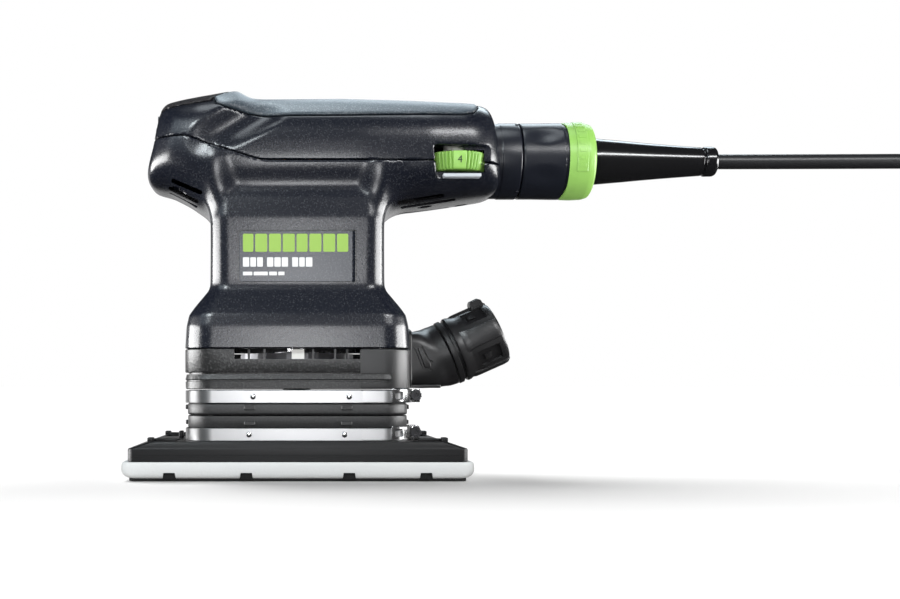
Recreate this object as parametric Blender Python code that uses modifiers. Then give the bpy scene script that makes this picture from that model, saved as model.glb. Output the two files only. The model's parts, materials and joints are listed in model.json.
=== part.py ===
# Compact rectangular-pad orbital sander, built as separate pieces.
# Frame: metres, +Z up, origin on the sanding face under the motor axis,
# +X towards the mains lead, the motor axis is the Z axis.
import bpy
import bmesh
import math
from mathutils import Matrix, Vector

mm = 0.001

# ---------------------------------------------------------------- dimensions
GAP = 0.3 * mm                 # clearance between neighbouring pieces
STROKE = 2.0 * mm              # orbit diameter of the pad
PAD_L, PAD_W = 133.4 * mm, 80.0 * mm
HOOK_T = 0.9 * mm
FOAM_Z0, FOAM_Z1 = 1.2 * mm, 7.2 * mm
PLATE_L, PLATE_W = 128.6 * mm, 79.0 * mm
PLATE_Z0, PLATE_Z1 = 7.5 * mm, 14.9 * mm
GROOVE_X = (-48.4 * mm, -19.4 * mm, 19.4 * mm, 48.4 * mm)
GROOVE_W, GROOVE_H, GROOVE_D = 4.7 * mm, 1.9 * mm, 10.5 * mm
DUST_HOLE_R = 4.0 * mm
DUST_ROW_Y = 27.0 * mm

SEAL_HX, SEAL_HY, SEAL_R, SEAL_T = 42.3 * mm, 36.8 * mm, 10.0 * mm, 3.0 * mm
LOW_SEAL_Z = (15.25 * mm, 24.7 * mm)
UP_SEAL_Z = (25.1 * mm, 34.5 * mm)
BAND_T = 0.6 * mm
LOW_BAND_Z = (15.3 * mm, 19.8 * mm)
UP_BAND_Z = (29.6 * mm, 34.3 * mm)

RING_HX, RING_HY, RING_R = 43.3 * mm, 37.8 * mm, 11.0 * mm
RING_Z0, RING_Z1 = 34.8 * mm, 50.0 * mm
WALL = 3.0 * mm

NECK_HX, NECK_HY, NECK_R = 33.9 * mm, 31.4 * mm, 7.5 * mm
BORE_R = 28.2 * mm
HEAD_W = 31.5 * mm
SEAM_LOW, SEAM_HIGH = 122.7 * mm, 132.4 * mm

AXIS_Z = 127.8 * mm            # height of the lead's socket axis
SOCKET_R = 15.35 * mm
RING_X = (107.3 * mm, 119.4 * mm)
BOOT_X = (119.7 * mm, 166.0 * mm, 171.0 * mm)

DIAL_X, DIAL_Y, DIAL_R = 62.5 * mm, -17.6 * mm, 12.0 * mm
DIAL_Z = (119.6 * mm, 126.6 * mm)

PORT_C = Vector((63.9, 0.0, 50.4)) * mm      # centre of the dust flange
PORT_TILT = math.radians(24.0)
PORT_DIR = Vector((math.cos(PORT_TILT), 0.0, math.sin(PORT_TILT)))
PORT_R, PORT_BORE = 13.1 * mm, 10.9 * mm

CORD_D = 6.0 * mm
COIL_C = Vector((313.0, 0.0, 0.0)) * mm
COIL_R = (28.0 * mm, 52.0 * mm)
COIL_H = 24.5 * mm

# ---------------------------------------------------------------- clean start
for ob in list(bpy.data.objects):
    bpy.data.objects.remove(ob, do_unlink=True)

PARTS = bpy.data.collections.new("orbital_sander")
CUTS = bpy.data.collections.new("cutters")
bpy.context.scene.collection.children.link(PARTS)
bpy.context.scene.collection.children.link(CUTS)


def material(name, rgb, rough, metal=0.0):
    m = bpy.data.materials.new(name)
    m.use_nodes = True
    b = m.node_tree.nodes["Principled BSDF"]
    b.inputs["Base Color"].default_value = (*rgb, 1.0)
    b.inputs["Roughness"].default_value = rough
    b.inputs["Metallic"].default_value = metal
    m.diffuse_color = (*rgb, 1.0)
    return m


NAVY = (0.016, 0.021, 0.032)
BLACK = (0.012, 0.012, 0.013)
GREY = (0.03, 0.03, 0.033)
GREEN = (0.26, 0.55, 0.09)
STEEL = (0.62, 0.63, 0.65)


def add(name, bm, mat, cut=False, smooth=35.0):
    me = bpy.data.meshes.new(name)
    bm.to_mesh(me)
    bm.free()
    ob = bpy.data.objects.new(name, me)
    if cut:
        CUTS.objects.link(ob)
        ob.hide_render = True
        ob.display_type = 'WIRE'
    else:
        PARTS.objects.link(ob)
        rgb, rough, metal = mat
        me.materials.append(material(name + "_mat", rgb, rough, metal))
        if smooth:
            me.shade_smooth()
            me.set_sharp_from_angle(angle=math.radians(smooth))
    return ob


def cut(ob, tool, op='DIFFERENCE'):
    m = ob.modifiers.new(op.lower() + "_" + tool.name, 'BOOLEAN')
    m.object = tool
    m.operation = op
    m.solver = 'EXACT'
    return m


def bevel(ob, width, segs=2, angle=35.0):
    m = ob.modifiers.new("bevel", 'BEVEL')
    m.width = width
    m.segments = segs
    m.limit_method = 'ANGLE'
    m.angle_limit = math.radians(angle)
    return m


# ------------------------------------------------------------ shape builders
def rrect(hx, hy, r, n=5, cx=0.0, cy=0.0):
    """Counter-clockwise rounded rectangle, n+1 points on each corner."""
    pts = []
    for k, (sx, sy) in enumerate(((1, 1), (-1, 1), (-1, -1), (1, -1))):
        for i in range(n + 1):
            a = math.radians(90 * k + 90 * i / n)
            pts.append((cx + sx * (hx - r) + r * math.cos(a),
                        cy + sy * (hy - r) + r * math.sin(a)))
    return pts


def loft(rings):
    """Closed body through rings of 3-D points with equal counts."""
    bm = bmesh.new()
    vs = [[bm.verts.new(p) for p in ring] for ring in rings]
    n = len(rings[0])
    for a, b in zip(vs[:-1], vs[1:]):
        for i in range(n):
            j = (i + 1) % n
            bm.faces.new((a[i], a[j], b[j], b[i]))
    bm.faces.new(list(reversed(vs[0])))
    bm.faces.new(vs[-1])
    bmesh.ops.recalc_face_normals(bm, faces=bm.faces[:])
    return bm


def zloft(levels):
    """levels: (z, outline) -> closed body."""
    return loft([[(x, y, z) for x, y in outline] for z, outline in levels])


def prism_xz(points, y0, y1):
    """Outline in the XZ plane, extruded along Y."""
    return loft([[(x, y, z) for x, z in points] for y in (y0, y1)])


def box(x0, x1, y0, y1, z0, z1):
    bm = bmesh.new()
    bmesh.ops.create_cube(bm, size=1.0)
    bmesh.ops.scale(bm, vec=(x1 - x0, y1 - y0, z1 - z0), verts=bm.verts)
    bmesh.ops.translate(bm, vec=((x0 + x1) / 2, (y0 + y1) / 2, (z0 + z1) / 2), verts=bm.verts)
    return bm


def cyl(r, z0, z1, x=0.0, y=0.0, seg=24, r2=None):
    bm = bmesh.new()
    bmesh.ops.create_cone(bm, cap_ends=True, segments=seg, radius1=r,
                          radius2=r if r2 is None else r2, depth=z1 - z0)
    bmesh.ops.translate(bm, vec=(x, y, (z0 + z1) / 2), verts=bm.verts)
    return bm


def cyl_along(direction, r, start, length, seg=24, r2=None):
    bm = bmesh.new()
    bmesh.ops.create_cone(bm, cap_ends=True, segments=seg, radius1=r,
                          radius2=r if r2 is None else r2, depth=length)
    bmesh.ops.translate(bm, vec=(0, 0, length / 2), verts=bm.verts)
    q = Vector((0, 0, 1)).rotation_difference(direction)
    bmesh.ops.rotate(bm, matrix=q.to_matrix(), verts=bm.verts)
    bmesh.ops.translate(bm, vec=start, verts=bm.verts)
    return bm


def turned(name, profile, mat, seg=24, axis=None, at=(0, 0, 0), cutter=False):
    """Profile of (radius, height), down the outer side, swept by a Screw modifier.
    A profile that doesn't touch the axis is closed into a ring."""
    bm = bmesh.new()
    vs = [bm.verts.new((r, 0.0, h)) for r, h in profile]
    for a, b in zip(vs[:-1], vs[1:]):
        bm.edges.new((a, b))
    if profile[0][0] > 0 and profile[-1][0] > 0:
        bm.edges.new((vs[-1], vs[0]))
    ob = add(name, bm, mat, cut=cutter, smooth=None)
    m = ob.modifiers.new("screw", 'SCREW')
    m.axis = 'Z'
    m.angle = 2 * math.pi
    m.steps = seg
    m.render_steps = seg
    m.use_merge_vertices = True
    m.merge_threshold = 0.00001
    m.use_smooth_shade = True
    if axis is not None:
        ob.rotation_mode = 'QUATERNION'
        ob.rotation_quaternion = Vector((0, 0, 1)).rotation_difference(axis)
    ob.location = at
    return ob


def wall(name, outline, z0, z1, thick, mat):
    """Upright closed strip of the outline, thickened inwards."""
    bm = bmesh.new()
    lo = [bm.verts.new((x, y, z0)) for x, y in outline]
    hi = [bm.verts.new((x, y, z1)) for x, y in outline]
    n = len(lo)
    for i in range(n):
        j = (i + 1) % n
        bm.faces.new((lo[i], lo[j], hi[j], hi[i]))
    ob = add(name, bm, mat)
    m = ob.modifiers.new("solidify", 'SOLIDIFY')
    m.thickness = thick
    m.offset = -1.0
    m.use_even_offset = True
    return ob


def table(rows, t):
    """Piecewise-linear value from (t, value) rows."""
    if t <= rows[0][0]:
        return rows[0][1]
    for (a, va), (b, vb) in zip(rows[:-1], rows[1:]):
        if t <= b:
            return va + (vb - va) * (t - a) / (b - a)
    return rows[-1][1]


# ----------------------------------------------------------------- head form
# The head is lofted along X. u runs from the rear end (0) to the lead end (1).
END_REAR = [(112, -60.4), (118.6, -59.9), (130, -56.6), (140, -54.9), (150, -53.6), (157, -53.0)]
END_LEAD = [(108, 81.4), (112, 81.4), (119, 80.4), (130, 79.4), (143, 77.4), (150, 76.2)]
TOP = [(0.0, 148.0), (0.02, 149.7), (0.115, 152.0), (0.2, 154.0), (0.228, 153.9), (0.25, 152.2),
       (0.27, 151.0), (0.29, 150.5), (0.32, 150.4), (0.55, 150.6), (0.73, 150.0),
       (0.86, 149.3), (0.97, 148.9), (1.0, 147.6)]
BOTTOM = [(0.0, 117.0), (0.02, 115.2), (0.065, 113.8), (0.108, 110.9), (0.15, 108.4),
          (0.3, 107.0), (0.7, 107.6), (0.76, 108.2), (0.825, 109.4), (0.97, 112.3), (1.0, 114.4)]
HALF = [(0.0, 21.0), (0.02, 25.0), (0.06, 28.5), (0.12, 30.6), (0.2, 31.4), (0.6, 31.5),
        (0.8, 30.6), (0.92, 28.4), (0.97, 25.6), (1.0, 20.5)]
STATIONS = (0.0, 0.02, 0.06, 0.12, 0.2, 0.228, 0.26, 0.3, 0.5, 0.66, 0.8, 0.9, 0.97, 1.0)


def head_ring(u, inset, n=28):
    zt = table(TOP, u) * mm - inset
    zb = table(BOTTOM, u) * mm + inset
    w = table(HALF, u) * mm - inset
    zc, h = (zt + zb) / 2, (zt - zb) / 2
    ring = []
    for i in range(n):
        a = 2 * math.pi * (i + 0.5) / n
        c, s = math.cos(a), math.sin(a)
        e = 2 / 2.6 if s > 0 else 2 / 3.0
        y = w * math.copysign(abs(c) ** e, c)
        z = zc + h * math.copysign(abs(s) ** e, s)
        xl = table(END_REAR, z / mm) * mm + inset
        xr = table(END_LEAD, z / mm) * mm - inset
        ring.append((xl + (xr - xl) * u, y, z))
    return ring


def flat_faced(bm):
    bmesh.ops.triangulate(bm, faces=bm.faces[:])     # a loft's quads are not flat
    return bm


def head_form(inset):
    return flat_faced(loft([head_ring(u, inset) for u in STATIONS]))


def seam_line(shift):
    return [(-80 * mm, SEAM_HIGH + shift), (-43 * mm, SEAM_HIGH + shift),
            (-15 * mm, SEAM_LOW + shift), (110 * mm, SEAM_LOW + shift)]


# ------------------------------------------------------------------- cutters
head_core = add("cut_head_core", head_form(4.2 * mm), None, cut=True)
above_seam = add("cut_above_seam", prism_xz(
    [(110 * mm, 190 * mm), (-80 * mm, 190 * mm)] + seam_line(-0.5 * GAP), -60 * mm, 60 * mm), None, cut=True)
below_seam = add("cut_below_seam", prism_xz(
    list(reversed(seam_line(0.5 * GAP))) + [(-80 * mm, 60 * mm), (110 * mm, 60 * mm)],
    -61 * mm, 61 * mm), None, cut=True)
motor_bore = add("cut_motor_bore", cyl(BORE_R, 62 * mm, 131 * mm, seg=40), None, cut=True)
skirt_core = add("cut_skirt_core", flat_faced(zloft([
    (46 * mm, rrect(40.0 * mm, 34.4 * mm, 8 * mm)),
    (60 * mm, rrect(39.4 * mm, 33.8 * mm, 8 * mm)),
    (66 * mm, rrect(35.0 * mm, 30.6 * mm, 9 * mm)),
    (69 * mm, rrect(29.0 * mm, 28.6 * mm, 12 * mm))])), None, cut=True)
socket_seat = add("cut_socket_seat", cyl_along(Vector((1, 0, 0)), SOCKET_R + 0.35 * mm,
                  Vector((77.2 * mm, 0, AXIS_Z)), 20 * mm, seg=32), None, cut=True)
dial_pocket = add("cut_dial_pocket", cyl(DIAL_R + 0.7 * mm, DIAL_Z[0] - 0.5 * mm, DIAL_Z[1] + 0.5 * mm,
                                         DIAL_X, DIAL_Y, seg=32), None, cut=True)
dial_recess = add("cut_dial_recess", prism_xz(
    [(75.0 * mm, 128.8 * mm), (52.3 * mm, 128.8 * mm), (54.5 * mm, 116.2 * mm), (72.8 * mm, 116.2 * mm)],
    -45 * mm, -25.2 * mm), None, cut=True)
rocker_seat = add("cut_rocker_seat", box(-75 * mm, -52.0 * mm, -9.2 * mm, 9.2 * mm, 135.8 * mm, 145.2 * mm),
                  None, cut=True)
SCREW_XY = ((-46.3 * mm, 17.2 * mm), (-46.3 * mm, -17.2 * mm), (68.0 * mm, 8.0 * mm), (52.0 * mm, -3.0 * mm))
BOSS_TOP = (146.4 * mm, 146.4 * mm, 145.3 * mm, 146.4 * mm)
screw_holes = [add("cut_cover_screw_%d" % i, cyl(3.0 * mm, 100 * mm, 125 * mm, x, y, seg=16), None, cut=True)
               for i, (x, y) in enumerate(SCREW_XY)]
boss_bores = [add("cut_boss_bore_%d" % i, cyl(2.0 * mm, 110 * mm, 144 * mm, x, y, seg=12), None, cut=True)
              for i, (x, y) in enumerate(SCREW_XY)]
bosses = [add("cut_boss_%d" % i, cyl(4.3 * mm, 128.0 * mm if x > 0 else 135.0 * mm, BOSS_TOP[i], x, y, seg=16),
              None, cut=True) for i, (x, y) in enumerate(SCREW_XY)]

# The soft grip covers the top of the head in front of the hump.
GRIP_REGION = [(-24.5, 165.0), (-24.5, 152.8), (-32.5, 148.9), (-30.0, 146.2), (-24.4, 143.6), (-18.6, 142.0),
               (-12.0, 141.0), (-4.0, 140.4), (65.0, 140.9), (69.0, 142.2), (70.8, 145.0), (70.8, 165.0)]
CAP_REGION = [(-70.0, 165.0), (-70.0, 145.2), (-33.4, 148.6), (-32.9, 149.3), (-24.9, 153.2), (-24.9, 165.0)]


def grown(points, d):
    """Outline moved outwards by d (mm) on every side."""
    n = len(points)
    area = sum(points[i][0] * points[(i + 1) % n][1] - points[(i + 1) % n][0] * points[i][1] for i in range(n))
    sgn = 1.0 if area > 0 else -1.0
    out = []
    for i in range(n):
        p0, p1, p2 = (Vector(points[i - 1]), Vector(points[i]), Vector(points[(i + 1) % n]))
        e1, e2 = (p1 - p0).normalized(), (p2 - p1).normalized()
        n1, n2 = Vector((e1.y, -e1.x)) * sgn, Vector((e2.y, -e2.x)) * sgn
        k = (n1 + n2) / max(0.3, 1 + n1.dot(n2))
        out.append(tuple(p1 + k * d))
    return out


def region(points, y=50 * mm):
    return prism_xz([(x * mm, z * mm) for x, z in points], -y, y)


layer_in = add("cut_layer", head_form(2.2 * mm), None, cut=True)
layer_seat = add("cut_layer_seat", head_form(2.5 * mm), None, cut=True)
grip_area = add("cut_grip_area", region(GRIP_REGION), None, cut=True)
cap_area = add("cut_cap_area", region(CAP_REGION, 51 * mm), None, cut=True)
grip_clear = add("cut_grip_clear", region(grown(GRIP_REGION, 0.3), 52 * mm), None, cut=True)
cap_clear = add("cut_cap_clear", region(grown(CAP_REGION, 0.3), 53 * mm), None, cut=True)
cut(grip_clear, layer_seat)
cut(cap_clear, layer_seat)

# -------------------------------------------------------------- motor housing
neck = add("cut_neck", flat_faced(zloft([
    (50.3 * mm, rrect(43.3 * mm, 37.8 * mm, 11.0 * mm)),
    (58.8 * mm, rrect(42.8 * mm, 37.3 * mm, 10.5 * mm)),
    (63.2 * mm, rrect(41.6 * mm, 36.3 * mm, 10.0 * mm)),
    (67.2 * mm, rrect(38.6 * mm, 34.2 * mm, 9.0 * mm)),
    (71.0 * mm, rrect(35.6 * mm, 32.2 * mm, 8.0 * mm)),
    (74.0 * mm, rrect(34.2 * mm, 31.5 * mm, NECK_R)),
    (77.0 * mm, rrect(NECK_HX, NECK_HY, NECK_R)),
    (101.0 * mm, rrect(NECK_HX, NECK_HY, NECK_R)),
    (104.0 * mm, rrect(35.6 * mm, NECK_HY, NECK_R)),
    (107.0 * mm, rrect(38.4 * mm, 31.2 * mm, 8.0 * mm)),
    (110.0 * mm, rrect(40.3 * mm, 30.0 * mm, 9.0 * mm)),
    (116.0 * mm, rrect(40.6 * mm, 28.0 * mm, 9.0 * mm))])), None, cut=True)
motor_housing = add("motor_housing", head_form(0.0), (NAVY, 0.42, 0.0))
cut(motor_housing, neck, 'UNION')
cut(motor_housing, above_seam)
cut(motor_housing, head_core)
cut(motor_housing, motor_bore)
cut(motor_housing, skirt_core)
cut(motor_housing, socket_seat)
cut(motor_housing, dial_pocket)
cut(motor_housing, dial_recess)
label_seat = add("cut_label_seat", box(-22.9 * mm, 22.6 * mm, -40 * mm, -30.2 * mm, 75.6 * mm, 95.7 * mm), None, cut=True)
rating_seat = add("cut_rating_seat", box(-22.9 * mm, 22.6 * mm, 30.2 * mm, 40 * mm, 75.6 * mm, 95.7 * mm), None, cut=True)
cut(motor_housing, label_seat)
cut(motor_housing, rating_seat)
for t in screw_holes:
    cut(motor_housing, t)

top_cover = add("top_cover", head_form(0.0), (NAVY, 0.42, 0.0))
cut(top_cover, below_seam)
cut(top_cover, head_core)
cut(top_cover, grip_clear)
cut(top_cover, cap_clear)
cut(top_cover, dial_pocket)
cut(top_cover, dial_recess)
cut(top_cover, rocker_seat)
cut(top_cover, socket_seat)
for t in bosses:
    cut(top_cover, t, 'UNION')
for t in boss_bores:
    cut(top_cover, t)

grip_pad = add("grip_pad", head_form(0.0), ((0.06, 0.075, 0.09), 0.5, 0.0))
cut(grip_pad, grip_area, 'INTERSECT')
cut(grip_pad, layer_in)
rear_cap = add("rear_cap", head_form(0.0), ((0.03, 0.028, 0.03), 0.5, 0.0))
cut(rear_cap, cap_area, 'INTERSECT')
cut(rear_cap, layer_in)

label = add("label_plate", box(-22.5 * mm, 22.2 * mm, -31.2 * mm, -30.5 * mm, 76.0 * mm, 95.3 * mm), (GREY, 0.35, 0.0))
rating = add("rating_plate", box(-22.5 * mm, 22.2 * mm, 30.5 * mm, 31.2 * mm, 76.0 * mm, 95.3 * mm), (GREY, 0.35, 0.0))

for i, (x, y) in enumerate(SCREW_XY):
    z0 = 117.0 if x < 0 else 115.0
    top = z0 + 22.0
    turned("cover_screw_%d" % (i + 1), [(0, top * mm), (1.5 * mm, top * mm), (1.5 * mm, (z0 + 3) * mm),
                                        (2.6 * mm, (z0 + 3) * mm), (2.6 * mm, z0 * mm), (0, z0 * mm)],
           (STEEL, 0.35, 1.0), seg=12, at=(x, y, 0))

# ------------------------------------------------------------------- switch
ROCKER_PIVOT = Vector((-53.4, 0.0, 140.5)) * mm
rocker = add("switch_rocker", prism_xz([(-52.8 * mm, 136.4 * mm), (-52.8 * mm, 144.6 * mm), (-54.9 * mm, 144.6 * mm),
                                        (-55.6 * mm, 140.5 * mm), (-56.6 * mm, 136.4 * mm)], -8.6 * mm, 8.6 * mm),
             ((0.55, 0.56, 0.57), 0.4, 0.0))
rocker.data.transform(Matrix.Translation(-ROCKER_PIVOT))
rocker.location = ROCKER_PIVOT
bevel(rocker, 0.5 * mm, 1)
add("switch_module", box(-48.6 * mm, -38.0 * mm, -8.0 * mm, 8.0 * mm, 134.5 * mm, 142.5 * mm), (BLACK, 0.5, 0.0))

# --------------------------------------------------------------- speed dial
dial_pts = []
for i in range(48):
    a = 2 * math.pi * i / 48
    r = DIAL_R - (0.0 if i % 2 else 0.45 * mm)
    dial_pts.append((r * math.cos(a), r * math.sin(a)))
dial = add("speed_dial", zloft([(DIAL_Z[0], [(x * 0.93, y * 0.93) for x, y in dial_pts]),
                                (DIAL_Z[1], dial_pts)]), ((0.36, 0.62, 0.08), 0.35, 0.0), smooth=None)
dial.location = (DIAL_X, DIAL_Y, 0)
turned("dial_potentiometer", [(0, 131.4 * mm), (5.0 * mm, 131.4 * mm), (5.0 * mm, 127.3 * mm), (0, 127.3 * mm)],
       (GREY, 0.5, 0.0), seg=16, at=(DIAL_X, DIAL_Y, 0))
add("control_board", box(46.0 * mm, 70.0 * mm, -20.0 * mm, -8.0 * mm, 131.8 * mm, 133.4 * mm), ((0.02, 0.12, 0.05), 0.5, 0.0))

# ------------------------------------------------------------------ base ring
base_ring = add("base_ring", zloft([(RING_Z0, rrect(RING_HX, RING_HY, RING_R)),
                                    (RING_Z1, rrect(RING_HX, RING_HY, RING_R))]), (BLACK, 0.6, 0.0))
ring_core = add("cut_ring_core", zloft([(38.0 * mm, rrect(RING_HX - WALL, RING_HY - WALL, 8 * mm)),
                                        (53.0 * mm, rrect(RING_HX - WALL, RING_HY - WALL, 8 * mm))]), None, cut=True)
ring_hole = add("cut_ring_hole", cyl(27.0 * mm, 30 * mm, 45 * mm, seg=32), None, cut=True)
cut(base_ring, ring_core)
cut(base_ring, ring_hole)
for i, (x0, x1) in enumerate(((-24.0, -13.2), (-11.8, -0.6), (0.8, 12.0), (13.4, 24.0))):
    w = add("cut_ring_window_%d" % i, box(x0 * mm, x1 * mm, -45 * mm, 45 * mm, 46.2 * mm, 52 * mm), None, cut=True)
    cut(base_ring, w)
cut(base_ring, add("cut_ring_end_window", box(-50 * mm, -36 * mm, -16 * mm, 16 * mm, 45.4 * mm, 52 * mm), None, cut=True))
cut(base_ring, add("cut_ring_duct", box(36 * mm, 50 * mm, -8.5 * mm, 8.5 * mm, 39.0 * mm, 48.0 * mm), None, cut=True))

# ----------------------------------------------------------- seals and bands
EC = STROKE / 2                # the pad's axis stands off the motor axis by this much
wall("upper_seal", rrect(SEAL_HX, SEAL_HY, SEAL_R), *UP_SEAL_Z, SEAL_T, (BLACK, 0.75, 0.0))
wall("lower_seal", rrect(SEAL_HX, SEAL_HY, SEAL_R, cy=EC), *LOW_SEAL_Z, SEAL_T, (BLACK, 0.75, 0.0))
BO = 0.3 * mm + BAND_T
wall("upper_band", rrect(SEAL_HX + BO, SEAL_HY + BO, SEAL_R + BO), *UP_BAND_Z, BAND_T, (STEEL, 0.25, 1.0))
wall("lower_band", rrect(SEAL_HX + BO, SEAL_HY + BO, SEAL_R + BO, cy=EC), *LOW_BAND_Z, BAND_T, (STEEL, 0.25, 1.0))
for tag, (z0, z1), dy in (("upper", UP_BAND_Z, 0.0), ("lower", LOW_BAND_Z, EC)):
    xf = SEAL_HX + BO + GAP
    b = add(tag + "_buckle", box(xf, xf + 1.2 * mm, -25.5 * mm + dy, -13.5 * mm + dy, z0, z1), (STEEL, 0.3, 1.0))
    bevel(b, 0.3 * mm, 1)
    turned(tag + "_clamp_screw", [(0, 0), (2.0 * mm, 0), (2.1 * mm, -12.4 * mm), (0, -12.4 * mm)],
           (BLACK, 0.5, 0.0), seg=12, axis=Vector((0, -1, 0)),
           at=(xf + 3.7 * mm, -26.0 * mm + dy, (z0 + z1) / 2))

# -------------------------------------------------------------- pad assembly
pad_plate = add("pad_plate", zloft([
    (PLATE_Z0, rrect(PLATE_L / 2, PLATE_W / 2, 3 * mm, 3, cy=EC)),
    (12.2 * mm, rrect(PLATE_L / 2, PLATE_W / 2, 3 * mm, 3, cy=EC)),
    (PLATE_Z1, rrect(PLATE_L / 2 - 8 * mm, PLATE_W / 2 - 0.6 * mm, 3 * mm, 3, cy=EC))]), (GREY, 0.6, 0.0))
foam = add("foam_pad", zloft([
    (FOAM_Z0, rrect(PAD_L / 2 - 0.8 * mm, PAD_W / 2 - 0.5 * mm, 3 * mm, 3, cy=EC)),
    (2.4 * mm, rrect(PAD_L / 2, PAD_W / 2, 3.5 * mm, 3, cy=EC)),
    (5.8 * mm, rrect(PAD_L / 2, PAD_W / 2, 3.5 * mm, 3, cy=EC)),
    (FOAM_Z1, rrect(PAD_L / 2 - 0.8 * mm, PAD_W / 2 - 0.5 * mm, 3 * mm, 3, cy=EC))]), ((0.85, 0.86, 0.86), 0.8, 0.0))
hook = add("hook_layer", zloft([(0.0, rrect(63.9 * mm, 38.6 * mm, 3 * mm, 3, cy=EC)),
                                (HOOK_T, rrect(63.9 * mm, 38.6 * mm, 3 * mm, 3, cy=EC))]), (BLACK, 0.9, 0.0))
for i, x in enumerate(GROOVE_X):
    for s, tag in ((-1, "a"), (1, "b")):
        y0, y1 = sorted((s * (PAD_W / 2 + 2 * mm) + EC, s * (PAD_W / 2 - GROOVE_D) + EC))
        cut(foam, add("cut_groove_%d%s" % (i, tag), box(x - GROOVE_W / 2, x + GROOVE_W / 2, y0, y1,
                                                       -1 * mm, FOAM_Z0 + GROOVE_H), None, cut=True))
        hole = add("cut_dust_hole_%d%s" % (i, tag), cyl(DUST_HOLE_R, -2 * mm, 5.0 * mm, x, s * DUST_ROW_Y + EC, seg=12), None, cut=True)
        cut(foam, hole)
        cut(hook, hole)

turned("bearing_hub", [(13.5 * mm, 34.0 * mm), (17.0 * mm, 34.0 * mm), (17.0 * mm, 19.0 * mm),
                       (22.0 * mm, 17.0 * mm), (22.0 * mm, 15.25 * mm), (6.0 * mm, 15.25 * mm),
                       (6.0 * mm, 20.0 * mm), (13.5 * mm, 20.0 * mm)],
       (STEEL, 0.45, 1.0), seg=24, at=(0, EC, 0))
turned("pad_bearing", [(6.0 * mm, 33.0 * mm), (13.1 * mm, 33.0 * mm), (13.1 * mm, 23.0 * mm), (6.0 * mm, 23.0 * mm)],
       (STEEL, 0.2, 1.0), seg=24, at=(0, EC, 0))
for i, (sx, sy) in enumerate(((1, 1), (-1, 1), (-1, -1), (1, -1))):
    turned("pad_leg_%d" % (i + 1), [(0, 34.4 * mm), (5.0 * mm, 34.4 * mm), (5.0 * mm, 32.4 * mm), (3.6 * mm, 30.4 * mm),
                                    (3.6 * mm, 19.4 * mm), (5.0 * mm, 17.4 * mm), (5.0 * mm, 15.3 * mm), (0, 15.3 * mm)],
           (BLACK, 0.7, 0.0), seg=12, at=(sx * 31 * mm, sy * 25 * mm, 0))

# -------------------------------------------------------------------- motor
turned("rotor_shaft", [(0, 132.0 * mm), (4.0 * mm, 132.0 * mm), (4.0 * mm, 50.2 * mm), (0, 50.2 * mm)],
       (STEEL, 0.25, 1.0), seg=16)
ecc = turned("eccentric", [(0, 49.8 * mm), (9.0 * mm, 49.8 * mm), (9.0 * mm, 40.0 * mm), (0, 40.0 * mm)],
             (STEEL, 0.4, 1.0), seg=24)
weight_pts = [(24.0 * mm * math.cos(math.radians(a)), 24.0 * mm * math.sin(math.radians(a)))
              for a in range(200, 341, 10)] + [(7.0 * mm, 0.0), (-7.0 * mm, 0.0)]
cut(ecc, add("cut_counterweight", zloft([(40.6 * mm, weight_pts), (48.8 * mm, weight_pts)]), None, cut=True), 'UNION')
cut(ecc, add("cut_crank_pin", cyl(5.6 * mm, 22.0 * mm, 44.0 * mm, 0, EC, seg=20), None, cut=True), 'UNION')
turned("armature_core", [(4.4 * mm, 104.0 * mm), (15.8 * mm, 104.0 * mm), (15.8 * mm, 78.0 * mm), (4.4 * mm, 78.0 * mm)],
       (STEEL, 0.5, 1.0), seg=24)
turned("commutator", [(4.4 * mm, 121.0 * mm), (9.6 * mm, 121.0 * mm), (9.6 * mm, 111.0 * mm), (4.4 * mm, 111.0 * mm)],
       ((0.6, 0.28, 0.12), 0.35, 1.0), seg=24)
turned("stator_core", [(16.6 * mm, 105.0 * mm), (27.8 * mm, 105.0 * mm), (27.8 * mm, 77.0 * mm), (16.6 * mm, 77.0 * mm)],
       (STEEL, 0.5, 1.0), seg=32)


def arc_block(a0, a1, r0, r1, z0, z1, n=8):
    outer = [(r1 * math.cos(math.radians(a0 + (a1 - a0) * i / n)), r1 * math.sin(math.radians(a0 + (a1 - a0) * i / n)))
             for i in range(n + 1)]
    inner = [(x * r0 / r1, y * r0 / r1) for x, y in reversed(outer)]
    return zloft([(z0, outer + inner), (z1, outer + inner)])


add("field_coil_near", arc_block(200, 340, 17.5 * mm, 26.0 * mm, 105.4 * mm, 109.6 * mm), ((0.45, 0.16, 0.05), 0.4, 1.0))
add("field_coil_far", arc_block(20, 160, 17.5 * mm, 26.0 * mm, 105.4 * mm, 109.6 * mm), ((0.45, 0.16, 0.05), 0.4, 1.0))
fan = turned("cooling_fan", [(4.4 * mm, 62.0 * mm), (8.0 * mm, 62.0 * mm), (10.0 * mm, 56.6 * mm), (26.5 * mm, 54.6 * mm),
                             (26.5 * mm, 52.8 * mm), (4.4 * mm, 52.8 * mm)], (BLACK, 0.5, 0.0), seg=24)
star = []
BLADES = 9
for k in range(BLADES):
    a = 2 * math.pi * k / BLADES
    for r, d in ((9.4, 0.22), (17.0, 0.36), (25.6, 0.60), (25.6, 0.55), (17.0, 0.26), (9.4, 0.0)):
        star.append((r * mm * math.cos(a - d), r * mm * math.sin(a - d)))
star.reverse()
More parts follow.
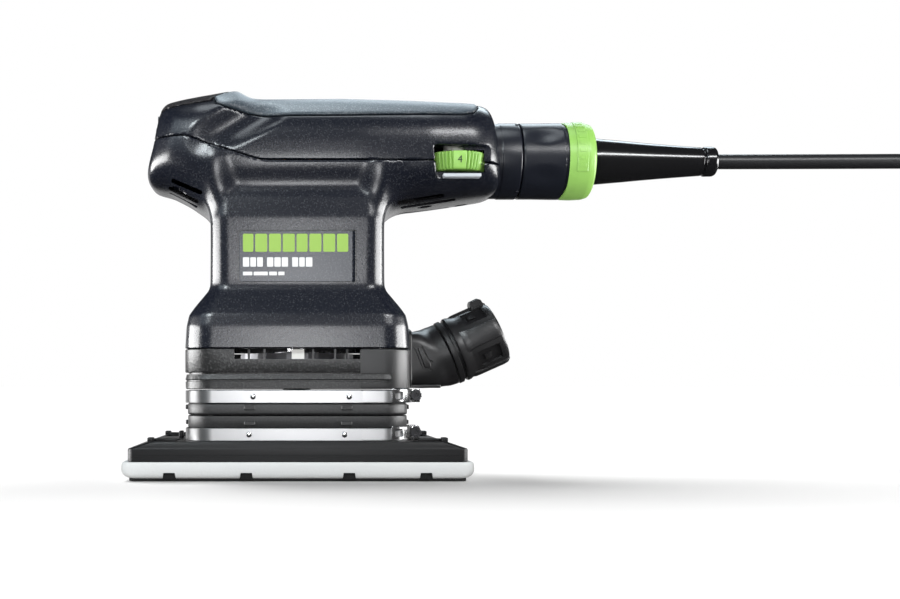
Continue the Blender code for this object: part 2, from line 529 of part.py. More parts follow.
# blade outline: the outer ends trail behind the roots
cut(fan, add("cut_fan_blades", zloft([(54.0 * mm, star), (61.0 * mm, star)]), None, cut=True), 'UNION')
cut(fan, add("cut_fan_bore", cyl(4.5 * mm, 50 * mm, 64 * mm, seg=24), None, cut=True))
turned("lower_bearing", [(4.4 * mm, 74.0 * mm), (11.0 * mm, 74.0 * mm), (11.0 * mm, 67.0 * mm), (4.4 * mm, 67.0 * mm)],
       (STEEL, 0.2, 1.0), seg=24)
turned("bearing_plate", [(11.4 * mm, 75.4 * mm), (27.8 * mm, 75.4 * mm), (27.8 * mm, 70.4 * mm), (15.0 * mm, 70.4 * mm),
                         (14.0 * mm, 66.4 * mm), (11.4 * mm, 66.4 * mm)], ((0.5, 0.5, 0.52), 0.5, 1.0), seg=24)
turned("upper_bearing", [(4.4 * mm, 131.4 * mm), (9.5 * mm, 131.4 * mm), (9.5 * mm, 124.4 * mm), (4.4 * mm, 124.4 * mm)],
       (STEEL, 0.2, 1.0), seg=24)
turned("bearing_bridge", [(9.9 * mm, 131.8 * mm), (25.5 * mm, 131.8 * mm), (25.5 * mm, 129.0 * mm), (13.0 * mm, 129.0 * mm),
                          (12.4 * mm, 124.0 * mm), (9.9 * mm, 124.0 * mm)], (BLACK, 0.5, 0.0), seg=24)
for tag, s in (("near", -1), ("far", 1)):
    y0, y1 = sorted((s * 10.3 * mm, s * 23.0 * mm))
    add("carbon_brush_" + tag, box(-3.0 * mm, 3.0 * mm, y0, y1, 113.0 * mm, 119.0 * mm), ((0.05, 0.05, 0.05), 0.6, 0.3))
    y0, y1 = sorted((s * 12.0 * mm, s * 25.0 * mm))
    h = add("brush_holder_" + tag, box(-4.6 * mm, 4.6 * mm, y0, y1, 111.6 * mm, 120.4 * mm), ((0.6, 0.45, 0.15), 0.4, 1.0))
    y0, y1 = sorted((s * 11.0 * mm, s * 23.6 * mm))
    cut(h, add("cut_brush_" + tag, box(-3.4 * mm, 3.4 * mm, y0, y1, 112.6 * mm, 119.4 * mm), None, cut=True))

# ---------------------------------------------------------- dust extraction
def port_ring(dist, r, n=32, squash=1.0):
    """Circle about the port axis, dist along it from the flange centre, first point on top."""
    up = Vector((-math.sin(PORT_TILT), 0.0, math.cos(PORT_TILT)))
    c = PORT_C + PORT_DIR * dist
    return [tuple(c + up * (r * math.cos(a)) + Vector((0, 1, 0)) * (r * math.sin(a)))
            for a in (2 * math.pi * i / n for i in range(n))]


def square_ring(x, y, z0, z1, r, n=32):
    """Rounded rectangle across X, points matched by angle to port_ring."""
    zc, h = (z0 + z1) / 2, (z1 - z0) / 2
    ring = []
    for i in range(n):
        a = 2 * math.pi * i / n
        c, s = math.cos(a), math.sin(a)
        e = 2 / 4.0
        ring.append((x, y * math.copysign(abs(s) ** e, s), zc + h * math.copysign(abs(c) ** e, c)))
    return ring


elbow = add("dust_elbow", loft([square_ring(43.7 * mm, 13.0 * mm, 35.6 * mm, 57.4 * mm, 0),
                                square_ring(47.5 * mm, 13.0 * mm, 35.6 * mm, 59.0 * mm, 0),
                                port_ring(-8.5 * mm, 12.4 * mm), port_ring(-3.4 * mm, 12.4 * mm)]),
            (GREY, 0.55, 0.0))
cut(elbow, add("cut_elbow_bore", loft([square_ring(41.0 * mm, 8.6 * mm, 39.0 * mm, 48.0 * mm, 0),
                                       square_ring(47.0 * mm, 9.4 * mm, 38.6 * mm, 53.0 * mm, 0),
                                       port_ring(-8.0 * mm, 10.0 * mm), port_ring(2.0 * mm, 10.0 * mm)]), None, cut=True))
turned("dust_sleeve", [(PORT_BORE, 19.6 * mm), (PORT_R - 0.5 * mm, 19.6 * mm), (PORT_R, 18.0 * mm), (PORT_R, -3.0 * mm),
                       (PORT_BORE, -3.0 * mm)], (GREY, 0.5, 0.0), seg=32, axis=PORT_DIR, at=PORT_C)

# ------------------------------------------------------------- lead connector
X = Vector((1, 0, 0))
ax = (0, 0, AXIS_Z)
turned("inlet_socket", [(9.9 * mm, 89.7 * mm), (SOCKET_R, 89.7 * mm), (SOCKET_R, 77.6 * mm), (9.9 * mm, 77.6 * mm)],
       (NAVY, 0.4, 0.0), seg=32, axis=X, at=ax)
turned("connector_body", [(0, 119.2 * mm), (11.0 * mm, 119.2 * mm), (11.0 * mm, 107.0 * mm), (15.3 * mm, 107.0 * mm),
                          (15.3 * mm, 90.0 * mm), (9.5 * mm, 90.0 * mm), (9.5 * mm, 79.0 * mm), (0, 79.0 * mm)],
       (NAVY, 0.45, 0.0), seg=32, axis=X, at=ax)
turned("locking_ring", [(11.4 * mm, RING_X[1]), (13.5 * mm, RING_X[1]), (14.9 * mm, RING_X[1] - 2.2 * mm),
                        (15.3 * mm, RING_X[0] + 5 * mm), (15.3 * mm, RING_X[0]), (11.4 * mm, RING_X[0])],
       (GREEN, 0.4, 0.0), seg=32, axis=X, at=ax)
turned("cable_boot", [(0, BOOT_X[2]), (4.4 * mm, BOOT_X[2]), (5.9 * mm, BOOT_X[2] - 1.2 * mm), (5.9 * mm, BOOT_X[1]),
                      (5.6 * mm, BOOT_X[1] - 0.4 * mm), (9.3 * mm, BOOT_X[0]), (0, BOOT_X[0])],
       (BLACK, 0.25, 0.0), seg=24, axis=X, at=ax)

# ---------------------------------------------------------------- mains lead
DROP_FROM = Vector((252.0, 0.0, 128.0))          # the lead leaves the tool level, then drops in two opposite bends
DROP_TO = Vector((285.0, -55.2, 3.05))


def drop_curve(p0, p1, n):
    """Two equal arcs, opposite in turn, from p0 to p1 (mm), level along +X at both ends."""
    side = Vector((0, p1.y - p0.y, p1.z - p0.z))
    turn = 2 * math.atan2(side.length, p1.x - p0.x)
    r = (p1.x - p0.x) / (2 * math.sin(turn))
    side.normalize()
    ahead = Vector((1, 0, 0))
    first = [p0 + ahead * r * math.sin(turn * i / n) + side * r * (1 - math.cos(turn * i / n)) for i in range(n + 1)]
    return first + [p1 - (q - p0) for q in reversed(first[:-1])]


ROUTE = ([(171.3, 0.0, 127.8), (200.0, 0.0, 127.85), (226.0, 0.0, 127.95)] +
         [tuple(q) for q in drop_curve(DROP_FROM, DROP_TO, 9)] + [(299.0, -55.2, 3.05), (313.0, -55.2, 3.05)])
TAIL_R, TAIL_BEND, TAIL_Z = 50.0, 26.0, 33.7      # over the coil, then a quarter turn into the plug
TAIL = []
for i in range(7):
    t = i / 6
    a = math.radians(45 + 45 * t)
    TAIL.append((313.0 + TAIL_R * math.cos(a), TAIL_R * math.sin(a), 27.6 + (TAIL_Z - 27.6) * t * t * (3 - 2 * t)))
for i in range(1, 6):
    a = math.radians(90 + 18 * i)
    TAIL.append((313.0 + TAIL_BEND * math.cos(a), TAIL_R - TAIL_BEND + TAIL_BEND * math.sin(a), TAIL_Z))
TAIL.append((287.0, 14.0, TAIL_Z))


def smooth_curve(points, per_span):
    """Catmull-Rom curve through the points, in metres."""
    P = [Vector(p) * mm for p in points]
    P = [P[0] * 2 - P[1]] + P + [P[-1] * 2 - P[-2]]
    out = []
    for i in range(1, len(P) - 2):
        p0, p1, p2, p3 = P[i - 1], P[i], P[i + 1], P[i + 2]
        for k in range(per_span):
            t = k / per_span
            out.append(0.5 * ((2 * p1) + (p2 - p0) * t + (2 * p0 - 5 * p1 + 4 * p2 - p3) * t * t
                              + (3 * p1 - p0 - 3 * p2 + p3) * t ** 3))
    out.append(P[-2])
    return out


def tube(name, points, d, mat):
    cu = bpy.data.curves.new(name, 'CURVE')
    cu.dimensions = '3D'
    cu.bevel_depth = d / 2
    cu.bevel_resolution = 2
    cu.use_fill_caps = True
    sp = cu.splines.new('POLY')
    sp.points.add(len(points) - 1)
    for q, p in zip(sp.points, points):
        q.co = (*p, 1.0)
    cu.materials.append(material(name + "_mat", *mat))
    ob = bpy.data.objects.new(name, cu)
    PARTS.objects.link(ob)
    return ob


tube("mains_cord", smooth_curve(ROUTE, 2), CORD_D, (BLACK, 0.45, 0.0))
tube("cord_tail", smooth_curve(TAIL, 2), CORD_D, (BLACK, 0.45, 0.0))
turned("cord_coil", [(COIL_R[0], COIL_H - 4 * mm), (COIL_R[0] + 3 * mm, COIL_H), (COIL_R[1] - 3 * mm, COIL_H),
                     (COIL_R[1], COIL_H - 4 * mm), (COIL_R[1], 4 * mm), (COIL_R[1] - 3 * mm, 0.0),
                     (COIL_R[0] + 3 * mm, 0.0), (COIL_R[0], 4 * mm)], (BLACK, 0.45, 0.0), seg=32, at=COIL_C)


def oval(y_along, hx, hz, n=20):
    """Oval section across the plug's own axis."""
    return [(hx * math.copysign(abs(math.cos(a)) ** 0.8, math.cos(a)), y_along,
             hz * math.copysign(abs(math.sin(a)) ** 0.8, math.sin(a))) for a in (2 * math.pi * i / n for i in range(n))]


plug = add("mains_plug", loft([oval(0.0, 3.9 * mm, 3.9 * mm), oval(13 * mm, 5.6 * mm, 5.0 * mm),
                               oval(19 * mm, 9.0 * mm, 7.0 * mm), oval(25 * mm, 15.5 * mm, 8.6 * mm),
                               oval(31 * mm, 17.6 * mm, 9.0 * mm), oval(42.5 * mm, 17.8 * mm, 9.0 * mm),
                               oval(44 * mm, 17.0 * mm, 8.4 * mm)]), (BLACK, 0.4, 0.0))
for s in (-1, 1):
    cut(plug, add("cut_plug_pin_%d" % s, cyl_along(Vector((0, 1, 0)), 2.4 * mm, Vector((s * 9.5 * mm, 40 * mm, 0)),
                                                   23 * mm, seg=12), None, cut=True), 'UNION')
PLUG_AT = Matrix.Translation(Vector((287.0, 13.0, TAIL_Z)) * mm) @ Matrix.Rotation(math.radians(180.0), 4, 'Z')
plug.matrix_world = PLUG_AT
for t in CUTS.objects:
    if t.name.startswith("cut_plug_pin"):
        t.matrix_world = PLUG_AT
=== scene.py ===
"""Looks of the compact pad sander: detailed pieces, materials, light and camera around its CAD frame."""

import json
import math

import bmesh
import bpy
import numpy as np
from mathutils import Matrix, Vector

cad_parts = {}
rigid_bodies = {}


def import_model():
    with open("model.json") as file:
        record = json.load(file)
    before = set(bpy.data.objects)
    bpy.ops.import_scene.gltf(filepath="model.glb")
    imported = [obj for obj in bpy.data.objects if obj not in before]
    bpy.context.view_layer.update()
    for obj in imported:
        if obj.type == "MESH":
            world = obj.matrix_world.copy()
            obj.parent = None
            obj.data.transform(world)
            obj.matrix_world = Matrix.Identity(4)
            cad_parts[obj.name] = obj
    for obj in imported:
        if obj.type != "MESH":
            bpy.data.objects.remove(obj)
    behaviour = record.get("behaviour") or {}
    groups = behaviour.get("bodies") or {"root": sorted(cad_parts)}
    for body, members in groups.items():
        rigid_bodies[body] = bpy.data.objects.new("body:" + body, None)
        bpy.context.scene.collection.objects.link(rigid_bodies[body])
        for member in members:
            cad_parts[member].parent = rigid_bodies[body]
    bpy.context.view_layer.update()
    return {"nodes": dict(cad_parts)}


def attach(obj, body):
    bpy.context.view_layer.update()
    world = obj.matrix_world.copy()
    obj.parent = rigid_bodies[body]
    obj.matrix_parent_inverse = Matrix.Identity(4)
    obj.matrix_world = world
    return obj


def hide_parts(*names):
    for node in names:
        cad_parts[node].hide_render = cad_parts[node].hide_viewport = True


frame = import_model()
MM = 0.001
AXIS_Z = 127.8
EC = 1.0                       # the pad rests this far off the motor axis, toward +Y (mm)


# ------------------------------------------------------------------ materials
def new_material(name):
    m = bpy.data.materials.new(name)
    m.use_nodes = True
    nt = m.node_tree
    return m, nt, nt.nodes["Principled BSDF"]


def surface(name, color, rough=0.5, metal=0.0, grain=0.0, size=0.35, speck=0.0, spec=0.5, coat=0.0, detail=1.0,
            rough_var=0.0):
    """Moulded or metal surface: a base colour, a fine grain in the normal (height `grain` mm, grains `size` mm wide)
    and pale specks of strength `speck`."""
    m, nt, bs = new_material(name)
    bs.inputs["Base Color"].default_value = (*color, 1)
    bs.inputs["Roughness"].default_value = rough
    bs.inputs["Metallic"].default_value = metal
    bs.inputs["Specular IOR Level"].default_value = spec
    bs.inputs["Coat Weight"].default_value = coat
    bs.inputs["Coat Roughness"].default_value = 0.12
    if grain or speck:
        tc = nt.nodes.new("ShaderNodeTexCoord")
        no = nt.nodes.new("ShaderNodeTexNoise")
        no.inputs["Scale"].default_value = 1.0 / (size * MM)
        no.inputs["Detail"].default_value = detail
        nt.links.new(tc.outputs["Object"], no.inputs["Vector"])
        if grain:
            bu = nt.nodes.new("ShaderNodeBump")
            bu.inputs["Strength"].default_value = 1.0
            bu.inputs["Distance"].default_value = grain * MM
            nt.links.new(no.outputs["Fac"], bu.inputs["Height"])
            nt.links.new(bu.outputs["Normal"], bs.inputs["Normal"])
        if speck:
            ra = nt.nodes.new("ShaderNodeValToRGB")
            ra.color_ramp.elements[0].position = 0.5
            ra.color_ramp.elements[0].color = (*color, 1)
            ra.color_ramp.elements[1].position = 0.72
            ra.color_ramp.elements[1].color = (*[min(1, c + speck) for c in color], 1)
            nt.links.new(no.outputs["Fac"], ra.inputs["Fac"])
            nt.links.new(ra.outputs["Color"], bs.inputs["Base Color"])
    if rough_var:
        tc = nt.nodes.new("ShaderNodeTexCoord")
        n2 = nt.nodes.new("ShaderNodeTexNoise")
        n2.inputs["Scale"].default_value = 160
        n2.inputs["Detail"].default_value = 4
        mr = nt.nodes.new("ShaderNodeMapRange")
        mr.inputs["To Min"].default_value = rough - rough_var
        mr.inputs["To Max"].default_value = rough + rough_var
        nt.links.new(tc.outputs["Object"], n2.inputs["Vector"])
        nt.links.new(n2.outputs["Fac"], mr.inputs["Value"])
        nt.links.new(mr.outputs["Result"], bs.inputs["Roughness"])
    return m


def brushed(name, color, rough, along=(1, 1, 40)):
    """Steel strip with fine lines running along it."""
    m, nt, bs = new_material(name)
    bs.inputs["Base Color"].default_value = (*color, 1)
    bs.inputs["Metallic"].default_value = 1.0
    tc = nt.nodes.new("ShaderNodeTexCoord")
    mp = nt.nodes.new("ShaderNodeMapping")
    mp.inputs["Scale"].default_value = along
    no = nt.nodes.new("ShaderNodeTexNoise")
    no.inputs["Scale"].default_value = 120
    no.inputs["Detail"].default_value = 5
    mr = nt.nodes.new("ShaderNodeMapRange")
    mr.inputs["To Min"].default_value = rough - 0.03
    mr.inputs["To Max"].default_value = rough + 0.05
    bu = nt.nodes.new("ShaderNodeBump")
    bu.inputs["Strength"].default_value = 0.3
    bu.inputs["Distance"].default_value = 0.004 * MM
    nt.links.new(tc.outputs["Object"], mp.inputs["Vector"])
    nt.links.new(mp.outputs["Vector"], no.inputs["Vector"])
    nt.links.new(no.outputs["Fac"], mr.inputs["Value"])
    nt.links.new(mr.outputs["Result"], bs.inputs["Roughness"])
    nt.links.new(no.outputs["Fac"], bu.inputs["Height"])
    nt.links.new(bu.outputs["Normal"], bs.inputs["Normal"])
    return m


NAVY = surface("navy_shell", (0.0034, 0.0045, 0.0084), 0.25, grain=0.029, size=0.62, speck=0.014, detail=1)
GRIP = surface("soft_grip", (0.012, 0.0195, 0.0275), 0.46, grain=0.045, size=0.60, speck=0.055, detail=1, spec=0.5)
CAP = surface("rear_cap", (0.009, 0.0075, 0.0085), 0.42, grain=0.045, size=0.60, speck=0.04, detail=1, spec=0.3)
COARSE = surface("coarse_ring", (0.0075, 0.0075, 0.0078), 0.36, grain=0.10, size=0.8, speck=0.03, detail=2)
SMOOTH_BLACK = surface("smooth_block", (0.009, 0.009, 0.0095), 0.42, grain=0.02, size=0.4)
RUBBER = surface("seal_rubber", (0.0075, 0.0075, 0.008), 0.46, grain=0.05, size=0.6, speck=0.01, detail=2)
MATTE = surface("port_plastic", (0.0085, 0.0082, 0.0088), 0.36, grain=0.03, size=0.5, detail=2, rough_var=0.06)
PLATE = surface("plate_plastic", (0.0060, 0.0060, 0.0064), 0.40, grain=0.018, size=0.6, detail=2, spec=0.22)
GLOSS = surface("gloss_black", (0.005, 0.005, 0.0055), 0.17, spec=0.6)
SATIN = surface("satin_black", (0.0055, 0.0068, 0.0115), 0.32, grain=0.02, size=0.6, detail=1)
CORD = surface("cord_rubber", (0.008, 0.008, 0.009), 0.38, grain=0.02, size=0.5)
GREEN = surface("green_plastic", (0.200, 0.385, 0.075), 0.36, grain=0.012, size=0.4)
FOAM = surface("foam", (0.60, 0.60, 0.592), 0.95, grain=0.10, size=0.7, detail=3, spec=0.05)
HOOK = surface("hook_fleece", (0.012, 0.012, 0.012), 0.95, grain=0.25, size=0.35, detail=2, spec=0.1)
STEEL = brushed("band_steel", (0.50, 0.50, 0.505), 0.33)
BRIGHT = surface("bright_steel", (0.74, 0.74, 0.75), 0.22, metal=1.0, rough_var=0.06)
SCREW = surface("black_screw", (0.035, 0.035, 0.037), 0.35, metal=0.8)
LABEL = surface("label_film", (0.010, 0.013, 0.020), 0.27, grain=0.035, size=0.6, speck=0.02, detail=1)
PRINT_GREEN = surface("print_green", (0.185, 0.315, 0.04), 0.45)
PRINT_WHITE = surface("print_white", (0.50, 0.50, 0.50), 0.45)
PRINT_DARK = surface("print_dark", (0.012, 0.02, 0.010), 0.5)
PALE_PRINT = surface("pale_print", (0.50, 0.50, 0.50), 0.5)
SILVER = surface("silver_plastic", (0.34, 0.36, 0.38), 0.35)
COPPER = surface("winding_copper", (0.50, 0.20, 0.08), 0.35, metal=0.9, grain=0.12, size=0.7)
LAMINATE = surface("core_steel", (0.22, 0.22, 0.23), 0.45, metal=0.8, grain=0.03, size=0.4)
CARBON = surface("carbon", (0.02, 0.02, 0.02), 0.6)
BOARD = surface("board_green", (0.012, 0.075, 0.03), 0.4)
WHITE_PLASTIC = surface("white_plastic", (0.62, 0.61, 0.58), 0.4)


# -------------------------------------------------------------------- meshes
def obj_from(name, verts, faces, mat, angle=32, smooth=True):
    """Mesh object from points in millimetres."""
    me = bpy.data.meshes.new(name)
    me.from_pydata([tuple(float(c) * MM for c in v) for v in verts], [], [tuple(int(i) for i in f) for f in faces])
    me.update()
    ob = bpy.data.objects.new(name, me)
    bpy.context.scene.collection.objects.link(ob)
    if mat:
        me.materials.append(mat)
    shade(ob, angle, smooth)
    return ob


def shade(ob, angle=32, smooth=True):
    me = ob.data
    me.polygons.foreach_set("use_smooth", [smooth] * len(me.polygons))
    if smooth:
        me.set_sharp_from_angle(angle=math.radians(angle))
    me.update()


def join(name, obs):
    """One object out of several that are one piece, keeping each one's material."""
    mats, bm = [], bmesh.new()
    for o in obs:
        idx = []
        for m in o.data.materials:
            if m not in mats:
                mats.append(m)
            idx.append(mats.index(m))
        tmp = bmesh.new()
        tmp.from_mesh(o.data)
        tmp.transform(o.matrix_world)
        for f in tmp.faces:
            f.material_index = idx[min(f.material_index, len(idx) - 1)] if idx else 0
        me = bpy.data.meshes.new("t")
        tmp.to_mesh(me)
        tmp.free()
        bm.from_mesh(me)
        bpy.data.meshes.remove(me)
    me = bpy.data.meshes.new(name)
    bm.to_mesh(me)
    bm.free()
    for m in mats:
        me.materials.append(m)
    for o in obs:
        d = o.data
        bpy.data.objects.remove(o)
        bpy.data.meshes.remove(d)
    ob = bpy.data.objects.new(name, me)
    bpy.context.scene.collection.objects.link(ob)
    return ob


def boolean(ob, tools, op="DIFFERENCE", angle=32, keep=False, solver="MANIFOLD"):
    """Applies the tools to the object one by one."""
    for t in tools if isinstance(tools, (list, tuple)) else [tools]:
        before = len(ob.data.polygons)
        for how in (solver, "EXACT"):
            md = ob.modifiers.new("b", "BOOLEAN")
            md.operation, md.solver, md.object = op, how, t
            dg = bpy.context.evaluated_depsgraph_get()
            me = bpy.data.meshes.new_from_object(ob.evaluated_get(dg))
            ob.modifiers.clear()
            if len(me.polygons) and len(me.polygons) != before or how == "EXACT":
                break
            print("boolean fallback", ob.name, t.name, how)
            bpy.data.meshes.remove(me)
        old = ob.data
        name = old.name
        ob.data = me
        bpy.data.meshes.remove(old)
        me.name = name
        if not keep:
            d = t.data
            bpy.data.objects.remove(t)
            bpy.data.meshes.remove(d)
    shade(ob, angle)
    return ob


def loft(name, rings, mat, angle=32, caps=True, closed=False):
    """Skin over equal-length rings of points (mm)."""
    n = len(rings[0])
    verts = [p for r in rings for p in r]
    faces = []
    m = len(rings)
    for i in range(m if closed else m - 1):
        j = (i + 1) % m
        for k in range(n):
            l = (k + 1) % n
            faces.append((i * n + k, i * n + l, j * n + l, j * n + k))
    if caps and not closed:
        faces.append(tuple(range(n - 1, -1, -1)))
        faces.append(tuple((m - 1) * n + k for k in range(n)))
    ob = obj_from(name, verts, faces, mat, angle)
    bm = bmesh.new()
    bm.from_mesh(ob.data)
    bmesh.ops.recalc_face_normals(bm, faces=bm.faces[:])
    bm.to_mesh(ob.data)
    bm.free()
    shade(ob, angle)
    return ob


def rrect(hx, hy, r, n=8, cx=0.0, cy=0.0):
    """Rounded rectangle, anticlockwise, n+1 points a corner."""
    pts = []
    for sx, sy, a0 in ((1, 1, 0), (-1, 1, 90), (-1, -1, 180), (1, -1, 270)):
        for i in range(n + 1):
            a = math.radians(a0 + 90 * i / n)
            pts.append((cx + sx * (hx - r) + r * math.cos(a), cy + sy * (hy - r) + r * math.sin(a)))
    return pts


def edge_levels(z0, z1, e0, e1, n=4):
    """(z, inset) pairs of a wall between z0 and z1 with rounded edges of e0 below and e1 above."""
    out = []
    if e0:
        for i in range(n + 1):
            a = math.pi / 2 * i / n
            out.append((z0 + e0 * (1 - math.sin(a)), e0 * (1 - math.cos(a))))
        out.reverse()
        out = [(z0 + e0 * (1 - math.cos(math.pi / 2 * i / n)), e0 * (1 - math.sin(math.pi / 2 * i / n))) for i in range(n + 1)]
    else:
        out.append((z0, 0.0))
    if e1:
        out += [(z1 - e1 * (1 - math.sin(math.pi / 2 * i / n)), e1 * (1 - math.cos(math.pi / 2 * i / n))) for i in range(n + 1)]
    else:
        out.append((z1, 0.0))
    return out


def rbox(name, hx, hy, r, levels, mat, cx=0.0, cy=0.0, n=8, angle=32):
    """Rounded box built up of (z, inset) levels."""
    return loft(name, [[(x, y, z) for x, y in rrect(hx - i, hy - i, max(0.05, r - i), n, cx, cy)] for z, i in levels],
                mat, angle)


def box(name, x0, x1, y0, y1, z0, z1, mat=None, bevel=0.0):
    v = [(x, y, z) for z in (z0, z1) for y in (y0, y1) for x in (x0, x1)]
    ob = obj_from(name, v, [(0, 2, 3, 1), (4, 5, 7, 6), (0, 1, 5, 4), (2, 6, 7, 3), (0, 4, 6, 2), (1, 3, 7, 5)], mat)
    if bevel:
        round_edges(ob, bevel)
    return ob


def round_edges(ob, width, seg=3, limit=40):
    bm = bmesh.new()
    bm.from_mesh(ob.data)
    es = [e for e in bm.edges if len(e.link_faces) == 2 and e.calc_face_angle(0) > math.radians(limit)]
    bmesh.ops.bevel(bm, geom=es, offset=width * MM, segments=seg, affect="EDGES", profile=0.5, clamp_overlap=True)
    bm.to_mesh(ob.data)
    bm.free()
    shade(ob, 30)
    return ob


def prism(name, pts, y0, y1, mat=None):
    """Extrusion along Y of an XZ outline."""
    n = len(pts)
    area = sum(pts[i][0] * pts[(i + 1) % n][1] - pts[(i + 1) % n][0] * pts[i][1] for i in range(n))
    if area < 0:
        pts = list(reversed(pts))
    v = [(x, y0, z) for x, z in pts] + [(x, y1, z) for x, z in pts]
    f = [tuple(range(n)), tuple(range(2 * n - 1, n - 1, -1))]
    f += [(i, i + n, (i + 1) % n + n, (i + 1) % n) for i in range(n)]
    return obj_from(name, v, f, mat)


def lathe(name, profile, mat, seg=64, axis="x", at=(0, 0, 0), angle=32, closed=False):
    """Turned form: profile of (distance along the axis, radius); closed profiles make rings."""
    rings = []
    for i in range(seg):
        a = 2 * math.pi * i / seg
        c, s = math.cos(a), math.sin(a)
        ring = []
        for d, r in profile:
            p = {"x": (d, r * c, r * s), "y": (r * c, d, r * s), "z": (r * c, r * s, d)}[axis]
            ring.append((p[0] + at[0], p[1] + at[1], p[2] + at[2]))
        rings.append(ring)
    n, m = len(profile), seg
    verts = [p for r in rings for p in r]
    faces = []
    for i in range(m):
        j = (i + 1) % m
        for k in range(n if closed else n - 1):
            l = (k + 1) % n
            faces.append((i * n + k, i * n + l, j * n + l, j * n + k))
    if not closed:
        for k in (0, n - 1):
            faces.append(tuple(i * n + k for i in range(m)))
    ob = obj_from(name, verts, faces, mat, angle)
    bm = bmesh.new()
    bm.from_mesh(ob.data)
    bmesh.ops.remove_doubles(bm, verts=bm.verts[:], dist=1e-7)
    bmesh.ops.recalc_face_normals(bm, faces=bm.faces[:])
    bm.to_mesh(ob.data)
    bm.free()
    shade(ob, angle)
    return ob


def rounded_profile(points, r=0.5, n=3):
    """Profile with its inner corners rounded."""
    out = [points[0]]
    for i in range(1, len(points) - 1):
        p, a, b = np.array(points[i], float), np.array(points[i - 1], float), np.array(points[i + 1], float)
        da, db = np.linalg.norm(a - p), np.linalg.norm(b - p)
        k = min(r, 0.45 * da, 0.45 * db)
        s, e = p + (a - p) / da * k, p + (b - p) / db * k
        for t in np.linspace(0, 1, n + 1):
            out.append(tuple((1 - t) ** 2 * s + 2 * t * (1 - t) * p + t * t * e))
    out.append(points[-1])
    return out


# -------------------------------------------------------- smooth shell forms
def table(points, blur):
    """Smooth curve through (x, y) points, as a lookup blurred over `blur` in x."""
    px, py = np.array(points, float).T
    x = np.linspace(px[0], px[-1], 1501)
    y = np.interp(x, px, py)
    w = blur / (x[1] - x[0])
    n = int(3 * w) + 1
    k = np.exp(-0.5 * (np.arange(-n, n + 1) / w) ** 2)
    k /= k.sum()
    y = np.concatenate([2 * y[0] - y[n:0:-1], y, 2 * y[-1] - y[-2:-n - 2:-1]])
    y = np.convolve(y, k, "valid")
    return lambda v: np.interp(v, x, y)


REAR = table([(100, -63), (112, -60.6), (118.6, -59.9), (130, -56.6), (140, -54.9), (150, -53.6), (160, -52.6)], 1.6)
LEAD = table([(100, 81.6), (112, 81.4), (119, 80.4), (130, 79.4), (143, 77.4), (150, 76.2), (160, 74.4)], 1.2)
TOP = table([(-.02, 148.0), (0, 148.3), (.02, 149.7), (.115, 152.0), (.2, 154.0), (.228, 153.9), (.25, 152.2),
             (.27, 151.0), (.29, 150.5), (.32, 150.4), (.55, 150.6), (.73, 150.0), (.86, 149.3), (.97, 148.9),
             (1, 147.9), (1.02, 147.0)], .006)
BOTTOM = table([(-.02, 117.4), (0, 117.0), (.02, 115.2), (.065, 113.8), (.108, 110.9), (.15, 108.4), (.3, 107.0),
                (.7, 107.6), (.76, 108.2), (.825, 109.4), (.97, 112.3), (1, 114.0), (1.02, 115.0)], .008)
HALF = table([(-.02, 19), (0, 21), (.02, 25), (.06, 28.5), (.12, 30.6), (.2, 31.4), (.6, 31.5), (.8, 30.6), (.92, 28.4),
              (.97, 25.6), (1, 20.5), (1.02, 18)], .012)
NECK_X = table([(44, 43.3), (50.3, 43.3), (58.8, 42.8), (63.2, 41.8), (66.4, 39.6), (72.8, 34.5), (74.6, 33.9),
                (77, 33.8), (90, 33.7), (112, 33.7), (140, 33.7)], .5)
NECK_Y = table([(44, 37.8), (50.3, 37.8), (58.8, 37.3), (63.2, 36.5), (65.6, 35.4), (72.8, 31.9), (74.4, 31.5),
                (77, 31.4), (101, 31.3), (108, 30.4), (114, 28.5), (122, 26), (140, 22)], .5)
NECK_C = table([(44, 11), (58, 10.5), (66, 9.2), (74, 7.6), (100, 7.0), (140, 7.0)], 1.0)


def smin(a, b, k):
    h = np.clip(0.5 + 0.5 * (b - a) / k, 0, 1)
    return b * (1 - h) + a * h - k * h * (1 - h)


def smax(a, b, k):
    return -smin(-a, -b, k)


def evened(fn, x, y, z, least=0.45):
    """Field of fn scaled to read as a distance near its surface."""
    e = 0.05
    v = fn(x, y, z)
    g = np.sqrt((fn(x + e, y, z) - v) ** 2 + (fn(x, y + e, z) - v) ** 2 + (fn(x, y, z + e) - v) ** 2) / e
    return v / np.maximum(g, least)


def head_raw(x, y, z):
    xl, xr = REAR(z), LEAD(z)
    u = (x - xl) / (xr - xl)
    top, bot, w = TOP(u), BOTTOM(u), HALF(u)
    zc, h = (top + bot) / 2, (top - bot) / 2
    dz = z - zc
    p = np.where(dz > 0, 2.55, 3.1)
    r = ((np.abs(y) / w) ** p + (np.abs(dz) / h) ** p) ** (1 / p)
    return (r - 1) * np.minimum(w, h)


def ends(x, y, z):
    return smax((REAR(z) - x) * 0.985, (x - LEAD(z)) * 0.985, 0.5)


def neck_raw(x, y, z):
    hx, hy, r = NECK_X(z), NECK_Y(z), NECK_C(z)
    qx, qy = np.abs(x) - hx + r, np.abs(y) - hy + r
    return np.minimum(np.maximum(qx, qy), 0) + np.hypot(np.maximum(qx, 0), np.maximum(qy, 0)) - r


def capsule(x, y, z, a, b, r0, r1):
    a, b = np.array(a, float), np.array(b, float)
    d = b - a
    t = np.clip(((x - a[0]) * d[0] + (y - a[1]) * d[1] + (z - a[2]) * d[2]) / d.dot(d), 0, 1)
    return np.sqrt((x - a[0] - t * d[0]) ** 2 + (y - a[1] - t * d[1]) ** 2 + (z - a[2] - t * d[2]) ** 2) - (r0 + (r1 - r0) * t)


